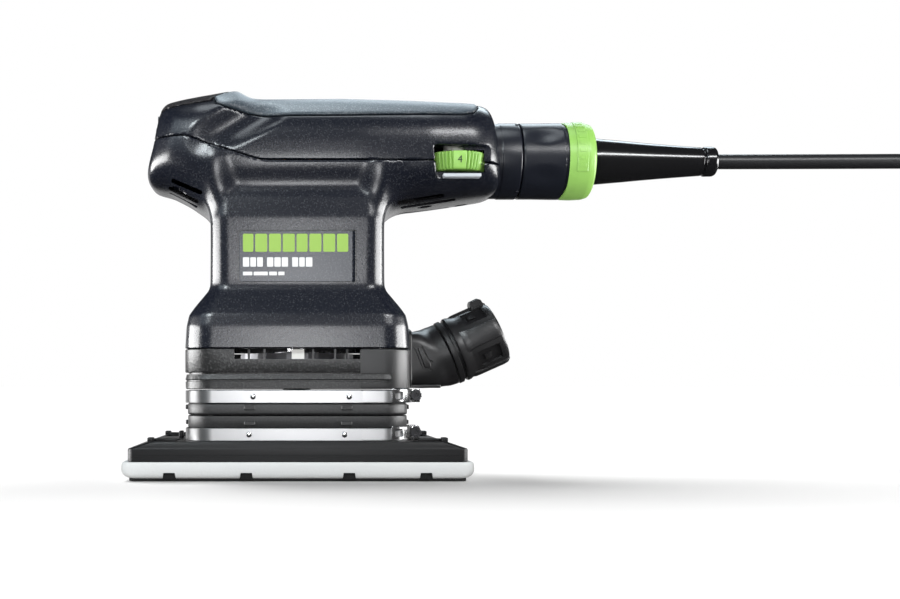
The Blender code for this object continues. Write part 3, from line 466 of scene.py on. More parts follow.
def head_field(x, y, z):
    f = smax(evened(head_raw, x, y, z), ends(x, y, z), 2.6)
    ay = np.abs(y)
    scoop = capsule(x, ay, z, (-13.5, 34.4, 145.5), (-36.5, 41.3, 130.0), 10.2, 10.9)
    f = smax(f, -scoop, 2.8)
    # shallow hollow that carries on from the hump down to the grip
    dip = capsule(x, ay, z, (-20, 30.0, 158.0), (-10, 34.0, 156.0), 10.5, 10.0)
    return smax(f, -dip, 5.0)


def body_field(x, y, z):
    head = head_field(x, y, z)
    neck = evened(neck_raw, x, y, z)
    neck = smax(neck, z - 134, 2)
    s = np.clip((np.abs(x) - 22) / 12, 0, 1)
    k = 3.4 + 9.7 * s * s * (3 - 2 * s)
    return smin(head, neck, k)


def polygon_distance(x, z, pts):
    """Signed distance to an XZ outline, negative inside."""
    d = np.full(x.shape, 1e9)
    inside = np.zeros(x.shape, bool)
    n = len(pts)
    for i in range(n):
        ax, az = pts[i]
        bx, bz = pts[(i + 1) % n]
        ex, ez = bx - ax, bz - az
        wx, wz = x - ax, z - az
        t = np.clip((wx * ex + wz * ez) / (ex * ex + ez * ez), 0, 1)
        d = np.minimum(d, (wx - ex * t) ** 2 + (wz - ez * t) ** 2)
        if az != bz:
            cross = ((az <= z) & (bz > z)) | ((bz <= z) & (az > z))
            inside ^= cross & (x < ax + (z - az) * ex / ez)
    d = np.sqrt(d)
    return np.where(inside, -d, d)


def skin(name, fn, lo, hi, h, mat, project=2, angle=40):
    """Mesh of the surface fn = 0, by surface nets on a grid of step h refined near the surface."""
    lo = np.array(lo, float)
    c = 3
    nb = np.ceil((np.array(hi) - lo) / (h * c)).astype(int) + 1
    ax = [lo[i] + np.arange(nb[i]) * h * c for i in range(3)]
    G = fn(*np.meshgrid(*ax, indexing="ij"))
    nf = (nb - 1) * c + 1
    idx = [np.arange(nf[i]) for i in range(3)]
    near = np.abs(G) < 1.25 * h * c * 1.8
    pick = np.ix_(*[np.clip((idx[i] + c // 2) // c, 0, nb[i] - 1) for i in range(3)])
    F = G[pick].copy()
    N = near[pick]
    I, J, K = np.nonzero(N)
    step = 400000
    vals = np.empty(len(I))
    for s in range(0, len(I), step):
        e = slice(s, s + step)
        vals[e] = fn(lo[0] + I[e] * h, lo[1] + J[e] * h, lo[2] + K[e] * h)
    F[I, J, K] = vals
    for a in range(3):                      # outside at the border
        sl = [slice(None)] * 3
        for end in (0, -1):
            sl[a] = end
            F[tuple(sl)] = np.abs(F[tuple(sl)]) + 1e-3
    S = F < 0
    cs = [S[i:nf[0] - 1 + i, j:nf[1] - 1 + j, k:nf[2] - 1 + k] for i in (0, 1) for j in (0, 1) for k in (0, 1)]
    count = sum(a.astype(np.int8) for a in cs)
    act = (count > 0) & (count < 8)
    I, J, K = np.nonzero(act)
    ids = np.full(act.shape, -1, np.int64)
    ids[I, J, K] = np.arange(len(I))
    corner = [(i, j, k) for i in (0, 1) for j in (0, 1) for k in (0, 1)]
    cv = np.stack([F[I + i, J + j, K + k] for i, j, k in corner], 1)
    pos = np.zeros((len(I), 3))
    cnt = np.zeros(len(I))
    for p in range(8):
        for q in range(p + 1, 8):
            a, b = np.array(corner[p]), np.array(corner[q])
            if np.abs(a - b).sum() != 1:
                continue
            fa, fb = cv[:, p], cv[:, q]
            m = (fa < 0) != (fb < 0)
            t = fa[m] / (fa[m] - fb[m])
            pos[m] += a + t[:, None] * (b - a)
            cnt[m] += 1
    V = lo + (np.stack([I, J, K], 1) + pos / cnt[:, None]) * h
    faces = []
    for a in range(3):
        b, c2 = (a + 1) % 3, (a + 2) % 3
        sl0, sl1 = [slice(None)] * 3, [slice(None)] * 3
        sl0[a], sl1[a] = slice(0, -1), slice(1, None)
        s0, s1 = S[tuple(sl0)], S[tuple(sl1)]
        P = np.argwhere(s0 != s1)
        P = P[(P[:, b] > 0) & (P[:, c2] > 0) & (P[:, b] < nf[b] - 1) & (P[:, c2] < nf[c2] - 1)]
        flip = ~s0[tuple(P.T)]
        q = []
        for db, dc in ((1, 1), (0, 1), (0, 0), (1, 0)):
            w = P.copy()
            w[:, b] -= db
            w[:, c2] -= dc
            q.append(ids[tuple(w.T)])
        q = np.stack(q, 1)
        q[flip] = q[flip][:, ::-1]
        faces.append(q)
    Q = np.concatenate(faces)
    Q = Q[(Q >= 0).all(1)]
    for _ in range(project):
        v = fn(V[:, 0], V[:, 1], V[:, 2])
        e = 0.04
        g = np.stack([(fn(V[:, 0] + e * (i == 0), V[:, 1] + e * (i == 1), V[:, 2] + e * (i == 2)) - v) / e
                      for i in range(3)], 1)
        g2 = np.maximum((g * g).sum(1), 0.25)
        V = V - np.clip(v / g2, -0.4 * h, 0.4 * h)[:, None] * g
    me = bpy.data.meshes.new(name)
    me.vertices.add(len(V))
    me.vertices.foreach_set("co", (V * MM).ravel())
    me.loops.add(len(Q) * 4)
    me.loops.foreach_set("vertex_index", Q.ravel().astype(np.int32))
    me.polygons.add(len(Q))
    me.polygons.foreach_set("loop_start", np.arange(0, len(Q) * 4, 4, dtype=np.int32))
    me.update(calc_edges=True)
    me.validate()
    ob = bpy.data.objects.new(name, me)
    bpy.context.scene.collection.objects.link(ob)
    if mat:
        me.materials.append(mat)
    shade(ob, angle)
    print(name, "quads", len(Q))
    return ob


# ------------------------------------------------------------- housing shells
H = 0.68
BOX = ((-66, -36, 47.5), (86.5, 36, 157.5))


def seam_of(x):
    """Height of the joint line between the shells."""
    return SEAM(x)


SEAM = table([(-90, 132.45), (-43.6, 132.4), (-42, 132.1), (-36.5, 129.9), (-18, 123.9), (-14, 122.85), (-10, 122.7), (110, 122.6)], .5)
GRIP_EDGE = [(-24.0, 170), (-24.0, 153.4), (-32.6, 149.0), (-31.2, 145.6), (-28, 144.0), (-24.4, 142.9), (-18.6, 141.4), (-12.0, 140.5),
             (-4.0, 140.1), (20, 140.3), (45, 140.9), (64, 141.3), (68.6, 142.3), (70.9, 145.0), (71.2, 148), (70.8, 170)]
CAP_EDGE = [(-75, 170), (-75, 142.6), (-54, 144.3), (-44, 145.6), (-33.6, 147.0), (-32.9, 148.3), (-24.7, 153.9), (-24.7, 170)]

# air slots, as (start, end, half width) on a plane 443 mm in front of the viewpoint (0, -471, 0) they were laid out from
VENTS = [((-47.8, 115.0), (-37.5, 110.6), 0.85), ((-49.0, 112.1), (-38.7, 107.0), 0.7), ((-49.0, 110.0), (-38.9, 105.0), 0.45),
         ((39.3, 106.6), (55.8, 109.3), 0.75), ((40.2, 104.7), (60.4, 107.8), 0.5), ((40.3, 103.7), (59.8, 106.5), 0.35)]


def dial_recess(x, y, z):
    """Tapered recess round the speed wheel, open to the near side."""
    w = 10.0 + (z - 116.0) * 0.13
    d = smax(np.abs(x - 63.7) - w, np.abs(z - 122.2) - 6.6, 2.0)
    return smax(d, y + 25.6, 0.8)


def lower_field(x, y, z):
    f = body_field(x, y, z)
    f = smax(f, 50.3 - z, 0.5)
    f = smax(f, (z - seam_of(x) + 0.22), 0.35)
    d = dial_recess(x, y, z)
    f = smax(f, -d, 0.7)
    return f


def upper_field(x, y, z):
    head = head_field(x, y, z)
    f = smax(head, (seam_of(x) + 0.22 - z), 0.35)
    g = polygon_distance(x, z, GRIP_EDGE)
    c = polygon_distance(x, z, CAP_EDGE)
    pocket = np.maximum(np.minimum(g, c) - 0.28, -(head + 1.9))
    f = smax(f, -pocket, 0.5)
    return smax(f, -dial_recess(x, y, z), 0.7)


def grip_field(x, y, z):
    head = head_field(x, y, z)
    g = polygon_distance(x, z, GRIP_EDGE)
    return smax(smax(head - 0.55, g, 1.3), -(head + 1.75), 0.3)


def cap_field(x, y, z):
    head = head_field(x, y, z)
    c = polygon_distance(x, z, CAP_EDGE)
    return smax(smax(head - 0.12, c, 0.7), -(head + 1.75), 0.3)


def inner_field(x, y, z):
    return body_field(x, y, z) + 3.3


hollow = skin("hollow", lambda x, y, z: np.where(z < 50.5, np.maximum(inner_field(x, y, np.maximum(z, 50.5)), 44 - z),
                                                  inner_field(x, y, z)), (-64, -36, 42), (86.5, 36, 155.5), 1.6, None, 1)
lower = skin("housing_lower", lower_field, (-66, -41, 47.5), (86.5, 41, 136), H, NAVY, 2)
upper = skin("housing_upper", upper_field, (-62, -36, 118), (84, 36, 157.5), H * 0.9, NAVY, 2)
grip = skin("grip_layer", grip_field, (-36, -36, 136), (76, 36, 157), H * 0.9, GRIP, 2)
cap = skin("rear_cap_skin", cap_field, (-60, -33, 142), (-20, 33, 157.5), H * 0.85, CAP, 2)

boolean(lower, hollow, keep=True, angle=40)
boolean(upper, hollow, keep=False, angle=40)


def slab(name, x0, x1, z0, z1, r, levels, mat, n=6, angle=32):
    """Rounded plate facing along Y, built of (y, inset) levels."""
    cx, cz, hx, hz = (x0 + x1) / 2, (z0 + z1) / 2, (x1 - x0) / 2, (z1 - z0) / 2
    return loft(name, [[(x, y, z) for x, z in rrect(hx - i, hz - i, max(0.05, r - i), n, cx, cz)] for y, i in levels],
                mat, angle)


def piece(ob, body, *nodes):
    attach(ob, body)
    if nodes:
        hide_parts(*nodes)
    return ob


# ---- openings and seats of the lower shell
def vent_cutter(p, q, r, side, y0=-44.0, y1=-6.0):
    a = math.atan2(q[1] - p[1], q[0] - p[0])
    pts = [(p[0] + r * math.cos(a + math.pi / 2 + math.pi * k / 6), p[1] + r * math.sin(a + math.pi / 2 + math.pi * k / 6)) for k in range(7)]
    pts += [(q[0] + r * math.cos(a - math.pi / 2 + math.pi * k / 6), q[1] + r * math.sin(a - math.pi / 2 + math.pi * k / 6)) for k in range(7)]
    rings = []
    for y in (y0, y1):
        k = (471 + y) / 443
        rings.append([(-4.8 + (x + 4.8) * k, side * -y, 35.6 + (z - 35.6) * k) for x, z in pts])
    return loft("vent", rings, None)


for vent in VENTS:
    boolean(lower, vent_cutter(*vent, -1), angle=40)
    boolean(lower, vent_cutter(*vent, 1), angle=40)
boolean(lower, slab("label_cut", -22.9, 22.6, 75.6, 95.7, 1.5, [(-40, 0), (-30.6, 0)], None), angle=40)
boolean(lower, slab("label_cut", 20.5, 22.6, 75.6, 95.7, 0.4, [(-40, 0), (-29.5, 0)], None), angle=40)
boolean(lower, slab("rating_cut", -22.9, 22.6, 75.6, 95.7, 1.5, [(40, 0), (30.6, 0)], None), angle=40)
for x, y in ((-46.3, 17.2), (-46.3, -17.2), (68.0, 8.0), (52.0, -3.0)):
    boolean(lower, lathe("hole", [(95, 0), (95, 3.0), (125, 3.0), (125, 0)], None, 28, "z", (x, y, 0)), angle=40)
dial_room = lathe("dial_room", [(118.9, 0), (118.9, 12.7), (127.3, 12.7), (127.3, 0)], None, 56, "z", (62.5, -17.6, 0))
boolean(lower, dial_room, keep=True, angle=40)
boolean(upper, dial_room, angle=40)
rock_cut = box("rock_cut", -75, -51.2, -9.3, 9.3, 135.9, 145.1)
boolean(upper, rock_cut, angle=40)
for ob, node in ((lower, "motor_housing"), (upper, "top_cover"), (grip, "grip_pad"), (cap, "rear_cap")):
    piece(ob, "housing", node)

# ---- name label: dark film with plain bars; its lead edge slopes back into the seat
film = slab("film", -22.35, 20.85, 75.95, 95.35, 1.1, [(-30.6, 0), (-31.1, 0), (-31.24, .14)], LABEL)
slope = [loft("slope", [[(x, y, z) for x, y in ((20.55, -31.2), (20.8, -31.22), (22.1, -29.98), (22.1, -29.7), (20.55, -29.7))]
                        for z in (75.95, 95.35)], LABEL, 20)]
bars = [film] + slope
x = -20.9
for w in (4.0, 4.6, 4.6, 4.6, 4.2, 4.6, 4.6, 4.3):
    bars.append(slab("bar", x, x + w, 87.3, 94.2, 0.5, [(-31.18, 0), (-31.29, 0), (-31.32, .03)], PRINT_GREEN, 3))
    x += w + 0.68
x = -20.9
for w in (2.4, 2.2, 2.2, 0, 2.4, 2.4, 2.4, 0, 2.3, 2.1, 2.5):
    if w:
        bars.append(slab("bar", x, x + w, 81.6, 85.2, 0.3, [(-31.18, 0), (-31.29, 0), (-31.32, .03)], PRINT_WHITE, 3))
        x += w + 0.42
    else:
        x += 1.15
x = -20.9
for w in (3.6, 5.4, 3.0, 2.4):
    bars.append(slab("bar", x, x + w, 78.3, 79.7, 0.2, [(-31.18, 0), (-31.28, 0), (-31.31, .03)], PALE_PRINT, 3))
    x += w + 0.5
piece(join("name_label", bars), "housing", "label_plate")

# ---- rating label on the far side
bars = [slab("film", -22.4, 22.1, 75.95, 95.35, 1.1, [(30.55, 0), (31.15, 0), (31.22, .07)], SILVER)]
bars.append(slab("bar", -21.0, 20.7, 92.0, 94.0, 0.2, [(31.1, 0), (31.26, 0)], PRINT_DARK, 3))
for k in range(5):
    bars.append(slab("bar", -21.0, -21.0 + (16, 21, 13, 19, 11)[k], 78.0 + 2.6 * k, 78.9 + 2.6 * k, 0.15,
                     [(31.1, 0), (31.25, 0)], PRINT_DARK, 3))
    bars.append(slab("bar", 4.0, 4.0 + (12, 9, 15, 7, 10)[k], 78.0 + 2.6 * k, 78.9 + 2.6 * k, 0.15,
                     [(31.1, 0), (31.25, 0)], PRINT_DARK, 3))
piece(join("rating_label", bars), "housing", "rating_plate")

# ---- silver ledge under the speed wheel
ledge = prism("dial_ledge", [(56.2, 116.2), (70.4, 116.2), (70.6, 117.6), (55.9, 117.6)], -30.3, -26.0, SILVER)
round_edges(ledge, 0.35)
piece(ledge, "housing")

# ---- speed wheel: numbers 1 to 6 on smooth pads, ribs between them
def wheel_radius(a):
    """Radius at angle a (degrees from the near side)."""
    for k in range(1, 7):
        c = -(k - 4) * 54
        d = (a - c + 180) % 360 - 180
        if abs(d) < 10.5:
            return 12.0
    t = (a % 7.5) / 7.5
    return 12.1 - 1.0 * (0.5 + 0.5 * math.cos(2 * math.pi * t)) ** 1.3


rings = []
N = 400
for z, ins in ((119.6, 2.2), (119.65, 1.7), (120.0, 1.25), (120.5, 1.05), (123.1, 0.48), (125.8, 0.0), (126.3, 0.1),
               (126.6, 0.5), (126.65, 1.0)):
    ring = []
    for i in range(N):
        a = 360 * i / N
        r = wheel_radius(a) - ins
        t = math.radians(a - 90)
        ring.append((62.5 + r * math.cos(t), -17.6 + r * math.sin(t), z))
    rings.append(ring)
wheel = [loft("wheel", rings, GREEN, 50)]
for k in range(1, 7):
    cu = bpy.data.curves.new("digit", "FONT")
    cu.body = str(k)
    cu.size = 3.9 * MM
    cu.align_x, cu.align_y = "CENTER", "CENTER"
    cu.extrude = 0.03 * MM
    tmp = bpy.data.objects.new("digit", cu)
    bpy.context.scene.collection.objects.link(tmp)
    dg = bpy.context.evaluated_depsgraph_get()
    me = bpy.data.meshes.new_from_object(tmp.evaluated_get(dg))
    bpy.data.objects.remove(tmp)
    a = math.radians(-(k - 4) * 54 - 90)
    out = Vector((math.cos(a), math.sin(a), 0))
    side = Vector((-math.sin(a), math.cos(a), 0))
    m = Matrix.Identity(4)
    m.col[0][:3] = side
    rise = (out * 0.197 + Vector((0, 0, 1))).normalized()
    m.col[1][:3] = rise
    m.col[2][:3] = side.cross(rise)
    m.translation = Vector((62.5, -17.6, 123.1)) * MM + out * 11.56 * MM
    me.transform(m)
    me.materials.clear()
    me.materials.append(PRINT_DARK)
    ob = bpy.data.objects.new("digit", me)
    bpy.context.scene.collection.objects.link(ob)
    wheel.append(ob)
piece(join("speed_wheel", wheel), "dial", "speed_dial")

# ---- rocker at the rear
rk = prism("rocker", [(-53.0, 136.5), (-56.9, 136.6), (-56.6, 139.2), (-56.0, 140.8), (-55.9, 142.4), (-55.9, 144.4), (-52.7, 144.4), (-52.2, 140.5)],
           -8.7, 8.7, GLOSS)
round_edges(rk, 0.45)
dots = [rk]
dots.append(box("mark", -56.92, -56.6, -2.2, 2.2, 137.6, 138.1, PRINT_WHITE))
dots.append(lathe("mark", rounded_profile([(-56.02, 1.0), (-56.1, 1.0), (-56.1, 1.45), (-55.8, 1.45), (-55.8, 1.0)], .02), PRINT_WHITE, 32, "x", (0, 0, 143.1), closed=False))
piece(join("switch_rocker_skin", dots), "switch", "switch_rocker")


# ---------------------------------------------------------------- shroud ring
def ring_wall(name, levels, hx, hy, r, inner, mat, z0, z1, n=12, cy=0.0, angle=32):
    ob = rbox(name, hx, hy, r, levels, mat, 0, cy, n, angle)
    hole = rbox("hole", hx - inner, hy - inner, max(1.0, r - inner), [(z0 - 3, 0), (z1 + 3, 0)], None, 0, cy, n)
    return boolean(ob, hole, angle=angle)


base = ring_wall("base", [(34.8, .55), (35.1, .2), (37.6, .15), (37.75, .5), (38.15, .5), (38.3, .2), (38.6, .1),
                          (40.35, .55), (40.45, 1.5), (41.05, 1.5), (41.15, .15), (41.5, 0), (49.7, 0), (50.0, .3)],
                 43.3, 37.8, 11, 3.1, COARSE, 34.8, 50)
boolean(base, [slab("w", x0, x1, 46.15, 53, 0.25, [(-45, 0), (45, 0)], None) for x0, x1 in
               ((-24, -12.9), (-12.2, 5.45), (6.15, 13.75), (14.45, 24.1))])
boolean(base, box("w", -50, -36, -16, 16, 45.4, 53))
boolean(base, box("w", -50, -41.7, -28, 28, 38.2, 40.7))
boolean(base, box("w", 36, 50, -9.0, 9.0, 39.5, 53))
blocks = []
for s in (-1, 1):
    b = rbox("block", 43.45, 37.95, 11, edge_levels(35.0, 49.75, .3, .3), SMOOTH_BLACK, 0, 0, 12)
    boolean(b, rbox("hole", 40.3, 34.8, 8, [(30, 0), (55, 0)], None, 0, 0, 12))
    boolean(b, box("clip", 23.6, 60, -60 if s < 0 else 14.0, -14.0 if s < 0 else 60, 20, 60), "INTERSECT")
    y0, y1 = (-39, -37.0) if s < 0 else (37.0, 39)
    boolean(b, box("pocket", 23.0, 35.4, y0, y1, 36.8, 40.9))
    blocks.append(b)
# inner deck with radial vanes, seen through the windows
deck = ring_wall("deck", [(44.6, 0), (45.6, 0)], 40.4, 34.9, 8, 9.5, SMOOTH_BLACK, 44.6, 45.6)
vanes_with_painted_shade_and_light = [box("vane", x - .35, x + .35, y0, y1, 45.5, 49.9, SMOOTH_BLACK)
         for x in (-18.6, 18.9) for y0, y1 in ((-34.6, -29.5), (29.5, 34.6))]
# black sheet behind the far windows: painted shade standing in for the dark interior
vanes_with_painted_shade_and_light.append(box("screen", -33, 33, 33.3, 34.4, 45.5, 49.9, SMOOTH_BLACK))
# white block in the near window: painted light standing in for the backdrop seen through the base
vanes_with_painted_shade_and_light.append(box("guide", -2.25, 2.5, -34.5, -32.4, 45.5, 49.9, WHITE_PLASTIC))
piece(join("shroud_ring", [base, deck] + vanes_with_painted_shade_and_light + blocks), "housing", "base_ring")


# ------------------------------------------------------- rubber seals and bands
def peg_ring(z0, z1, cy):
    out = []
    for x in (-18.2, 18.5):
        for s in (-1, 1):
            b = slab("peg", x - 2.1, x + 2.1, z0, z1, 0.5, [(cy + s * 36.2, 0), (cy + s * 37.35, 0), (cy + s * 37.55, .25)], RUBBER, 4)
            out.append(b)
    for y in (-17, 17):
        for s in (-1, 1):
            b = box("peg", min(s * 41.6, s * 43.9), max(s * 41.6, s * 43.9), cy + y - 2.2, cy + y + 2.2, z0, z1, RUBBER)
            round_edges(b, 0.35)
            out.append(b)
    return out


up = ring_wall("seal", [(25.05, .7), (25.2, .25), (25.5, .05), (26.0, 0), (28.9, 0), (29.2, .15), (29.35, .5), (34.3, .5), (34.5, .7)],
               42.3, 36.8, 10.2, 3.0, RUBBER, 25, 34.6)
piece(join("upper_seal_skin", [up] + peg_ring(26.9, 28.7, 0)), "housing", "upper_seal")
lo_ = ring_wall("seal", [(15.3, .7), (15.5, .5), (20.0, .5), (20.2, .15), (20.5, 0), (24.2, 0), (24.5, .05), (24.75, .3), (24.85, .7)],
                42.3, 36.8, 10.2, 3.0, RUBBER, 15.3, 24.9, cy=EC)
piece(join("lower_seal_skin", [lo_] + peg_ring(21.0, 22.7, EC)), "pad", "lower_seal")


def band(name, z0, z1, cy, rivets):
    ob = ring_wall("band", [(z0, .12), (z0 + .12, 0), (z1 - .12, 0), (z1, .12)], 43.2, 37.7, 10.9, .6, STEEL, z0, z1, 16, cy)
    out = [ob]
    zc = (z0 + z1) / 2
    for x in rivets:
        for s in (-1, 1):
            out.append(lathe("rivet", [(cy + s * 37.6, 0), (cy + s * 37.6, 1.15), (cy + s * 37.85, 1.1), (cy + s * 38.1, .75),
                                       (cy + s * 38.18, .3), (cy + s * 38.19, 0)], BRIGHT, 24, "y", (x, 0, zc), 50))
    # seam of the strip's overlapping end, and the tie hook's stamped tongue
    lap = ring_wall("lap", [(z0 + .25, .1), (z0 + .35, 0), (z1 - .35, 0), (z1 - .25, .1)], 43.55, 38.05, 11.2, .4, STEEL, z0, z1, 16, cy)
    boolean(lap, box("clip", 24.5, 60, -60, -27.0, z0 - 5, z1 + 5), "INTERSECT")
    out.append(lap)
    return join(name, out)


upper_band_ob = piece(band("upper_band_strip", 29.6, 34.3, 0.0, (-16.9, 19.4)), "housing", "upper_band")
lower_band_ob = piece(band("lower_band_strip", 15.3, 19.9, EC, (-18.4, 17.7)), "pad", "lower_band")


def buckle(name, z0, z1, cy):
    zc = (z0 + z1) / 2
    body = ring_wall("buckle", [(z0 - .1, .15), (z0 + .05, 0), (z1 + .35, 0), (z1 + .5, .15)], 44.2, 38.7, 11.6, .62, BRIGHT, z0 - 1, z1 + 1, 16, cy)
    boolean(body, box("clip", 35.4, 60, -60, cy - 24.5, z0 - 5, z1 + 5), "INTERSECT")
    boolean(body, slab("slot", 36.9, 39.8, zc - 1.0, zc + 1.2, .4, [(-45, 0), (-30, 0)], None, 4))
    round_edges(body, 0.1, 2)
    lug = box("lug", 43.3, 47.6, cy - 24.6, cy - 22.9, z0 - .1, z1 + .5, BRIGHT)
    lug2 = box("lug", 43.3, 47.6, cy - 15.2, cy - 13.6, z0 - .1, z1 + .5, BRIGHT)
    strap = box("strap", 43.25, 44.0, cy - 26.5, cy - 11.0, z0 - .1, z1 + .5, BRIGHT)
    for o in (lug, lug2, strap):
        round_edges(o, 0.25)
    return join(name, [body, lug, lug2, strap])


def clamp_screw(name, z0, z1, cy):
    zc = (z0 + z1) / 2 + .3
    rings = []
    for y, r, k in ((-30.4, 1.9, 0), (-30.2, 2.15, 1), (-26.2, 2.15, 1), (-26.0, 1.9, 0)):
        rings.append([(45.5 + (r - (.28 * k if i % 6 < 2 else 0)) * math.cos(2 * math.pi * i / 72), cy + y,
                       zc + (r - (.28 * k if i % 6 < 2 else 0)) * math.sin(2 * math.pi * i / 72)) for i in range(72)])
    knob = loft("knob", rings, SCREW, 40)
    boolean(knob, lathe("hex", [(cy - 32, 0), (cy - 32, 1.15), (cy - 28.4, 1.15), (cy - 28.4, 0)], None, 6, "y", (45.5, 0, zc)))
    shank = lathe("shank", [(cy - 26.1, 0), (cy - 26.1, 1.2), (cy - 12.4, 1.2), (cy - 12.0, .8), (cy - 12.0, 0)], SCREW, 28, "y", (45.5, 0, zc))
    nut = lathe("nut", [(cy - 13.7, 0), (cy - 13.7, 2.1), (cy - 12.5, 2.1), (cy - 12.5, 0)], SCREW, 6, "y", (45.5, 0, zc))
    return join(name, [knob, shank, nut])


piece(buckle("upper_buckle_skin", 29.8, 34.4, 0.0), "housing", "upper_buckle")
piece(clamp_screw("upper_clamp_skin", 29.8, 34.4, 0.0), "housing", "upper_clamp_screw")
piece(buckle("lower_buckle_skin", 15.7, 20.1, EC), "pad", "lower_buckle")
piece(clamp_screw("lower_clamp_skin", 15.7, 20.3, EC), "pad", "lower_clamp_screw")

# ------------------------------------------------------------------- the pad
rings = []
for z, hx, hy, r in ((7.3, 63.9, 39.1, 2.2), (7.55, 64.3, 39.5, 2.6), (11.9, 64.3, 39.5, 2.6), (12.35, 64.1, 39.45, 2.6),
                     (12.6, 63.3, 39.4, 2.6), (13.1, 61.6, 39.4, 2.6), (14.55, 57.4, 39.35, 2.6), (14.85, 56.6, 39.2, 2.6),
                     (14.95, 56.2, 38.9, 2.5)):
    rings.append([(x, y + EC, z) for x, y in rrect(hx, hy, r, 8)])
plate = loft("plate", rings, PLATE, 30)
for sx in (-1, 1):
    for sy in (-1, 1):
        boolean(plate, rbox("slot", 4.6, 8.0, 1.4, [(12.0, 0), (16, 0)], None, sx * 50.6, sy * 19.6 + EC, 5), angle=30)
    boolean(plate, rbox("slot", 1.6, 12.0, 1.0, [(13.4, 0), (16, 0)], None, sx * 58.6, EC, 5), angle=30)
for y0, y1 in ((-45, -39.25 + EC), (39.25 + EC, 45)):
    boolean(plate, box("line", -61.5, 61.5, y0, y1, 9.55, 9.75), angle=30)
plates = [plate]
collar = ring_wall("collar", edge_levels(14.9, 15.35, 0, .2), 44.3, 38.6, 11.5, 5, PLATE, 14, 16, 10, EC)
plates.append(collar)
for sx in (-1, 1):
    for sy in (-1, 1):
        h = box("hook", sx * 56.0 - 1.2, sx * 56.0 + 1.2, EC + sy * 33 - 2.4, EC + sy * 33 + 2.4, 14.5, 16.4, PLATE)
        plates.append(round_edges(h, .5))
        h = box("rib", min(sx * 46.2, sx * 55.0), max(sx * 46.2, sx * 55.0), EC + sy * 30.6 - .5, EC + sy * 30.6 + .5, 14.7, 15.9, PLATE)
        plates.append(round_edges(h, .3))
    h = box("hook", sx * 47.3 - .8, sx * 47.3 + .8, EC - 3.2, EC + 3.2, 14.5, 17.7, PLATE)
    plates.append(round_edges(h, .4))
piece(join("pad_plate_skin", plates), "pad", "pad_plate")

rings = []
for z, ix, iy in ((1.15, 3.0, 1.5), (1.35, 2.2, 1.0), (1.9, 1.15, .5), (2.7, .45, .15), (3.5, .08, .02), (4.4, -.1, -.06),
                  (5.6, -.05, -.03), (6.6, .1, .05), (7.05, .3, .2), (7.25, .6, .45)):
    rings.append([(x, y + EC, z) for x, y in rrect(66.7 - ix, 40.0 - iy, 3.4, 8)])
foam = loft("foam_block", rings, FOAM, 45)
NOTCH = (-48.4, -19.4, 19.4, 48.4)
for x in NOTCH:
    for s in (-1, 1):
        y0, y1 = (-42 + EC, -30 + EC) if s < 0 else (30 + EC, 42 + EC)
        boolean(foam, prism("n", [(x - 2.6, .5), (x - 2.15, 3.3), (x + 2.15, 3.3), (x + 2.6, .5)], y0, y1), angle=45)
for x in (-40, 0, 40):
    for y in (-27, 27):
        boolean(foam, lathe("h", [(0, 0), (0, 4), (9, 4), (9, 0)], None, 32, "z", (x, y + EC, 0)), angle=45)
piece(foam, "pad", "foam_pad")

hook = [rbox("hook", 63.9, 38.6, 3.0, edge_levels(0.0, 1.15, .3, .1), HOOK, 0, EC, 8)]
for x in (-40, 0, 40):
    for y in (-27, 27):
        boolean(hook[0], lathe("h", [(-2, 0), (-2, 4), (3, 4), (3, 0)], None, 32, "z", (x, y + EC, 0)))
# black fleece blocks filling the foam notches: painted shade standing in for the shadow inside the notch channels
for x in NOTCH:
    for s in (-1, 1):
        y0, y1 = (-39.2 + EC, -30.2 + EC) if s < 0 else (30.2 + EC, 39.2 + EC)
        hook.append(prism("n", [(x - 2.5, 1.0), (x - 2.08, 3.2), (x + 2.08, 3.2), (x + 2.5, 1.0)], y0, y1, HOOK))
hk = join("hook_face", hook)
piece(hk, "pad", "hook_layer")

# --------------------------------------------------------------- dust outlet
PORT = np.array([63.9, 0, 50.4])
TILT = math.radians(24)
PA = np.array([math.cos(TILT), 0, math.sin(TILT)])       # along the sleeve
PU = np.array([-math.sin(TILT), 0, math.cos(TILT)])      # up, across it
PY = np.array([0.0, 1.0, 0.0])


def port_pt(d, r, a):
    """Point at distance d along the sleeve, radius r, angle a from its near side toward its top."""
    return tuple(PORT + PA * d + r * (-math.cos(a) * PY + math.sin(a) * PU))


def port_lathe(name, profile, mat, seg=72, radius=None, angle=32):
    rings = []
    for i in range(seg):
        a = 2 * math.pi * i / seg
        rings.append([port_pt(d, r if radius is None else radius(d, r, a), a) for d, r in profile])
    n = len(profile)
    verts = [p for r in rings for p in r]
    faces = []
    for i in range(seg):
        j = (i + 1) % seg
        for k in range(n):
            l = (k + 1) % n
            faces.append((i * n + k, i * n + l, j * n + l, j * n + k))
    ob = obj_from(name, verts, faces, mat, angle)
    bm = bmesh.new()
    bm.from_mesh(ob.data)
    bmesh.ops.recalc_face_normals(bm, faces=bm.faces[:])
    bm.to_mesh(ob.data)
    bm.free()
    shade(ob, angle)
    return ob


